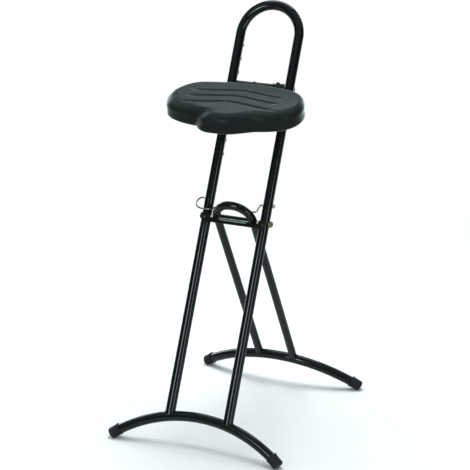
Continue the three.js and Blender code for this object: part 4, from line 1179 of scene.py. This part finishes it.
def from_camera(azimuth, elevation, distance):
    """A place round the object, by its azimuth off the camera's, its elevation and its distance."""
    a, e = CAMERA_AZIMUTH + radians(azimuth), radians(elevation)
    return CAMERA_AIM + distance * Vector((sin(a) * cos(e), -cos(a) * cos(e), sin(e)))


camera = put("camera", bpy.data.cameras.new("camera"))
camera.location = from_camera(0, CAMERA_ELEVATION, CAMERA_DISTANCE)
camera.data.lens = CAMERA_LENS
camera.data.sensor_width = CAMERA_SENSOR_WIDTH
aim_at(camera, CAMERA_AIM)
camera.rotation_quaternion @= Quaternion((0, 0, 1), CAMERA_ROLL)
bpy.context.scene.camera = camera

# Lamps: name, azimuth off the camera's, elevation, distance, width, height, watts, and whether gloss shows it
LAMPS = [
    ("left_strip", -31, 19, 2.8, 0.9, 1.1, 21, True),
    ("right_strip", 37, 10, 2.8, 0.9, 1.4, 13, True),
    ("overhead", 180, 78, 2.6, 1.8, 1.8, 160, False),
    ("rear_overhead", 172, 53, 2.8, 1.8, 0.8, 18, True),
    ("left_back", -146, 12, 2.8, 1.0, 1.6, 24, True),
    ("right_back", 146, 14, 2.8, 1.0, 1.4, 8, True),
]
for name, azimuth, elevation, distance, width, height, watts, shown in LAMPS:
    light = bpy.data.lights.new(name, "AREA")
    light.shape = "RECTANGLE"
    light.size, light.size_y, light.energy = width, height, watts
    light.color = LAMP_COLOUR
    lamp = put(name, light)
    lamp.location = from_camera(azimuth, elevation, distance)
    lamp.visible_glossy = shown
    aim_at(lamp, CAMERA_AIM)

# World: white to the eye, a soft sky that lights the object, and a dark studio in its reflections
world = bpy.data.worlds.new("studio")
bpy.context.scene.world = world
studio = Nodes(world)
upward = studio.new("SeparateXYZ", {"Vector": studio.new("TexCoord").outputs["Generated"]}).outputs["Z"]
sky_level = studio.ranged(upward, (0, 1), SKY_LEVELS, "LINEAR")
sky = studio.feed(studio.tree.nodes["Background"], {"Color": SKY_COLOUR, "Strength": sky_level})
studio_level = studio.ranged(upward, STUDIO_RISE, STUDIO_LEVELS)
mirrored = studio.new("Background", {"Color": STUDIO_COLOUR, "Strength": studio_level})
seen = studio.new("Background", {"Color": WHITE, "Strength": 1})
ray = studio.new("LightPath").outputs
unseen = studio.mixed(ray["Is Glossy Ray"], sky, mirrored)
straight = studio.new("Math", {0: ray["Is Camera Ray"], 1: ray["Is Transmission Ray"]}, operation="MAXIMUM")
whole = studio.mixed(straight.outputs[0], unseen, seen)
studio.feed(studio.tree.nodes["World Output"], {"Surface": whole.outputs[0]})

# Floor: pale where it takes the object's shadow, white to the eye further out, and a tinted glow in
# reflections
floor_mesh = bpy.data.meshes.new("floor")
rim = circle(Vector((0, 0, 0)), X_AXIS, Y_AXIS, FLOOR_RADIUS, RING_STEPS)
floor_mesh.from_pydata(rim, [], [tuple(range(RING_STEPS))])
floor = put("floor", floor_mesh)
floor.location.z = -FLOOR_DROP
ground = Finish("floor")
ground.feed(ground.shader, {"Base Color": FLOOR_COLOUR, "Roughness": FLOOR_ROUGHNESS})
place = ground.place()
ray = ground.new("LightPath").outputs
away = ground.new("VectorMath", {0: place}, operation="LENGTH").outputs["Value"]
fade = ground.ranged(away, FLOOR_FADE, (0, 1))
to_eye = ground.new("Math", {0: fade, 1: ray["Is Camera Ray"]}, operation="MULTIPLY")
far = ground.mixed(to_eye.outputs[0], ground.shader, ground.new("Emission", {"Color": WHITE, "Strength": 1}))
# In reflections the floor glows, more strongly behind the object. This is painted light, not a lamp, and it
# gives the pale reflections in the tubes.
backward = (-sin(CAMERA_AZIMUTH), cos(CAMERA_AZIMUTH), 0)
behind = ground.new("VectorMath", {0: place, 1: backward}, operation="DOT_PRODUCT").outputs["Value"]
floor_glow_level = ground.ranged(behind, FLOOR_BEHIND, FLOOR_BEHIND_LEVELS)
reflected_floor_glow = ground.new("Emission", {"Color": FLOOR_GLOW_COLOUR, "Strength": floor_glow_level})
surface = ground.mixed(ray["Is Glossy Ray"], far, reflected_floor_glow)
ground.feed(ground.tree.nodes["Material Output"], {"Surface": surface.outputs[0]})
floor_mesh.materials.append(ground.material)

bpy.context.scene.view_settings.view_transform = "Standard"
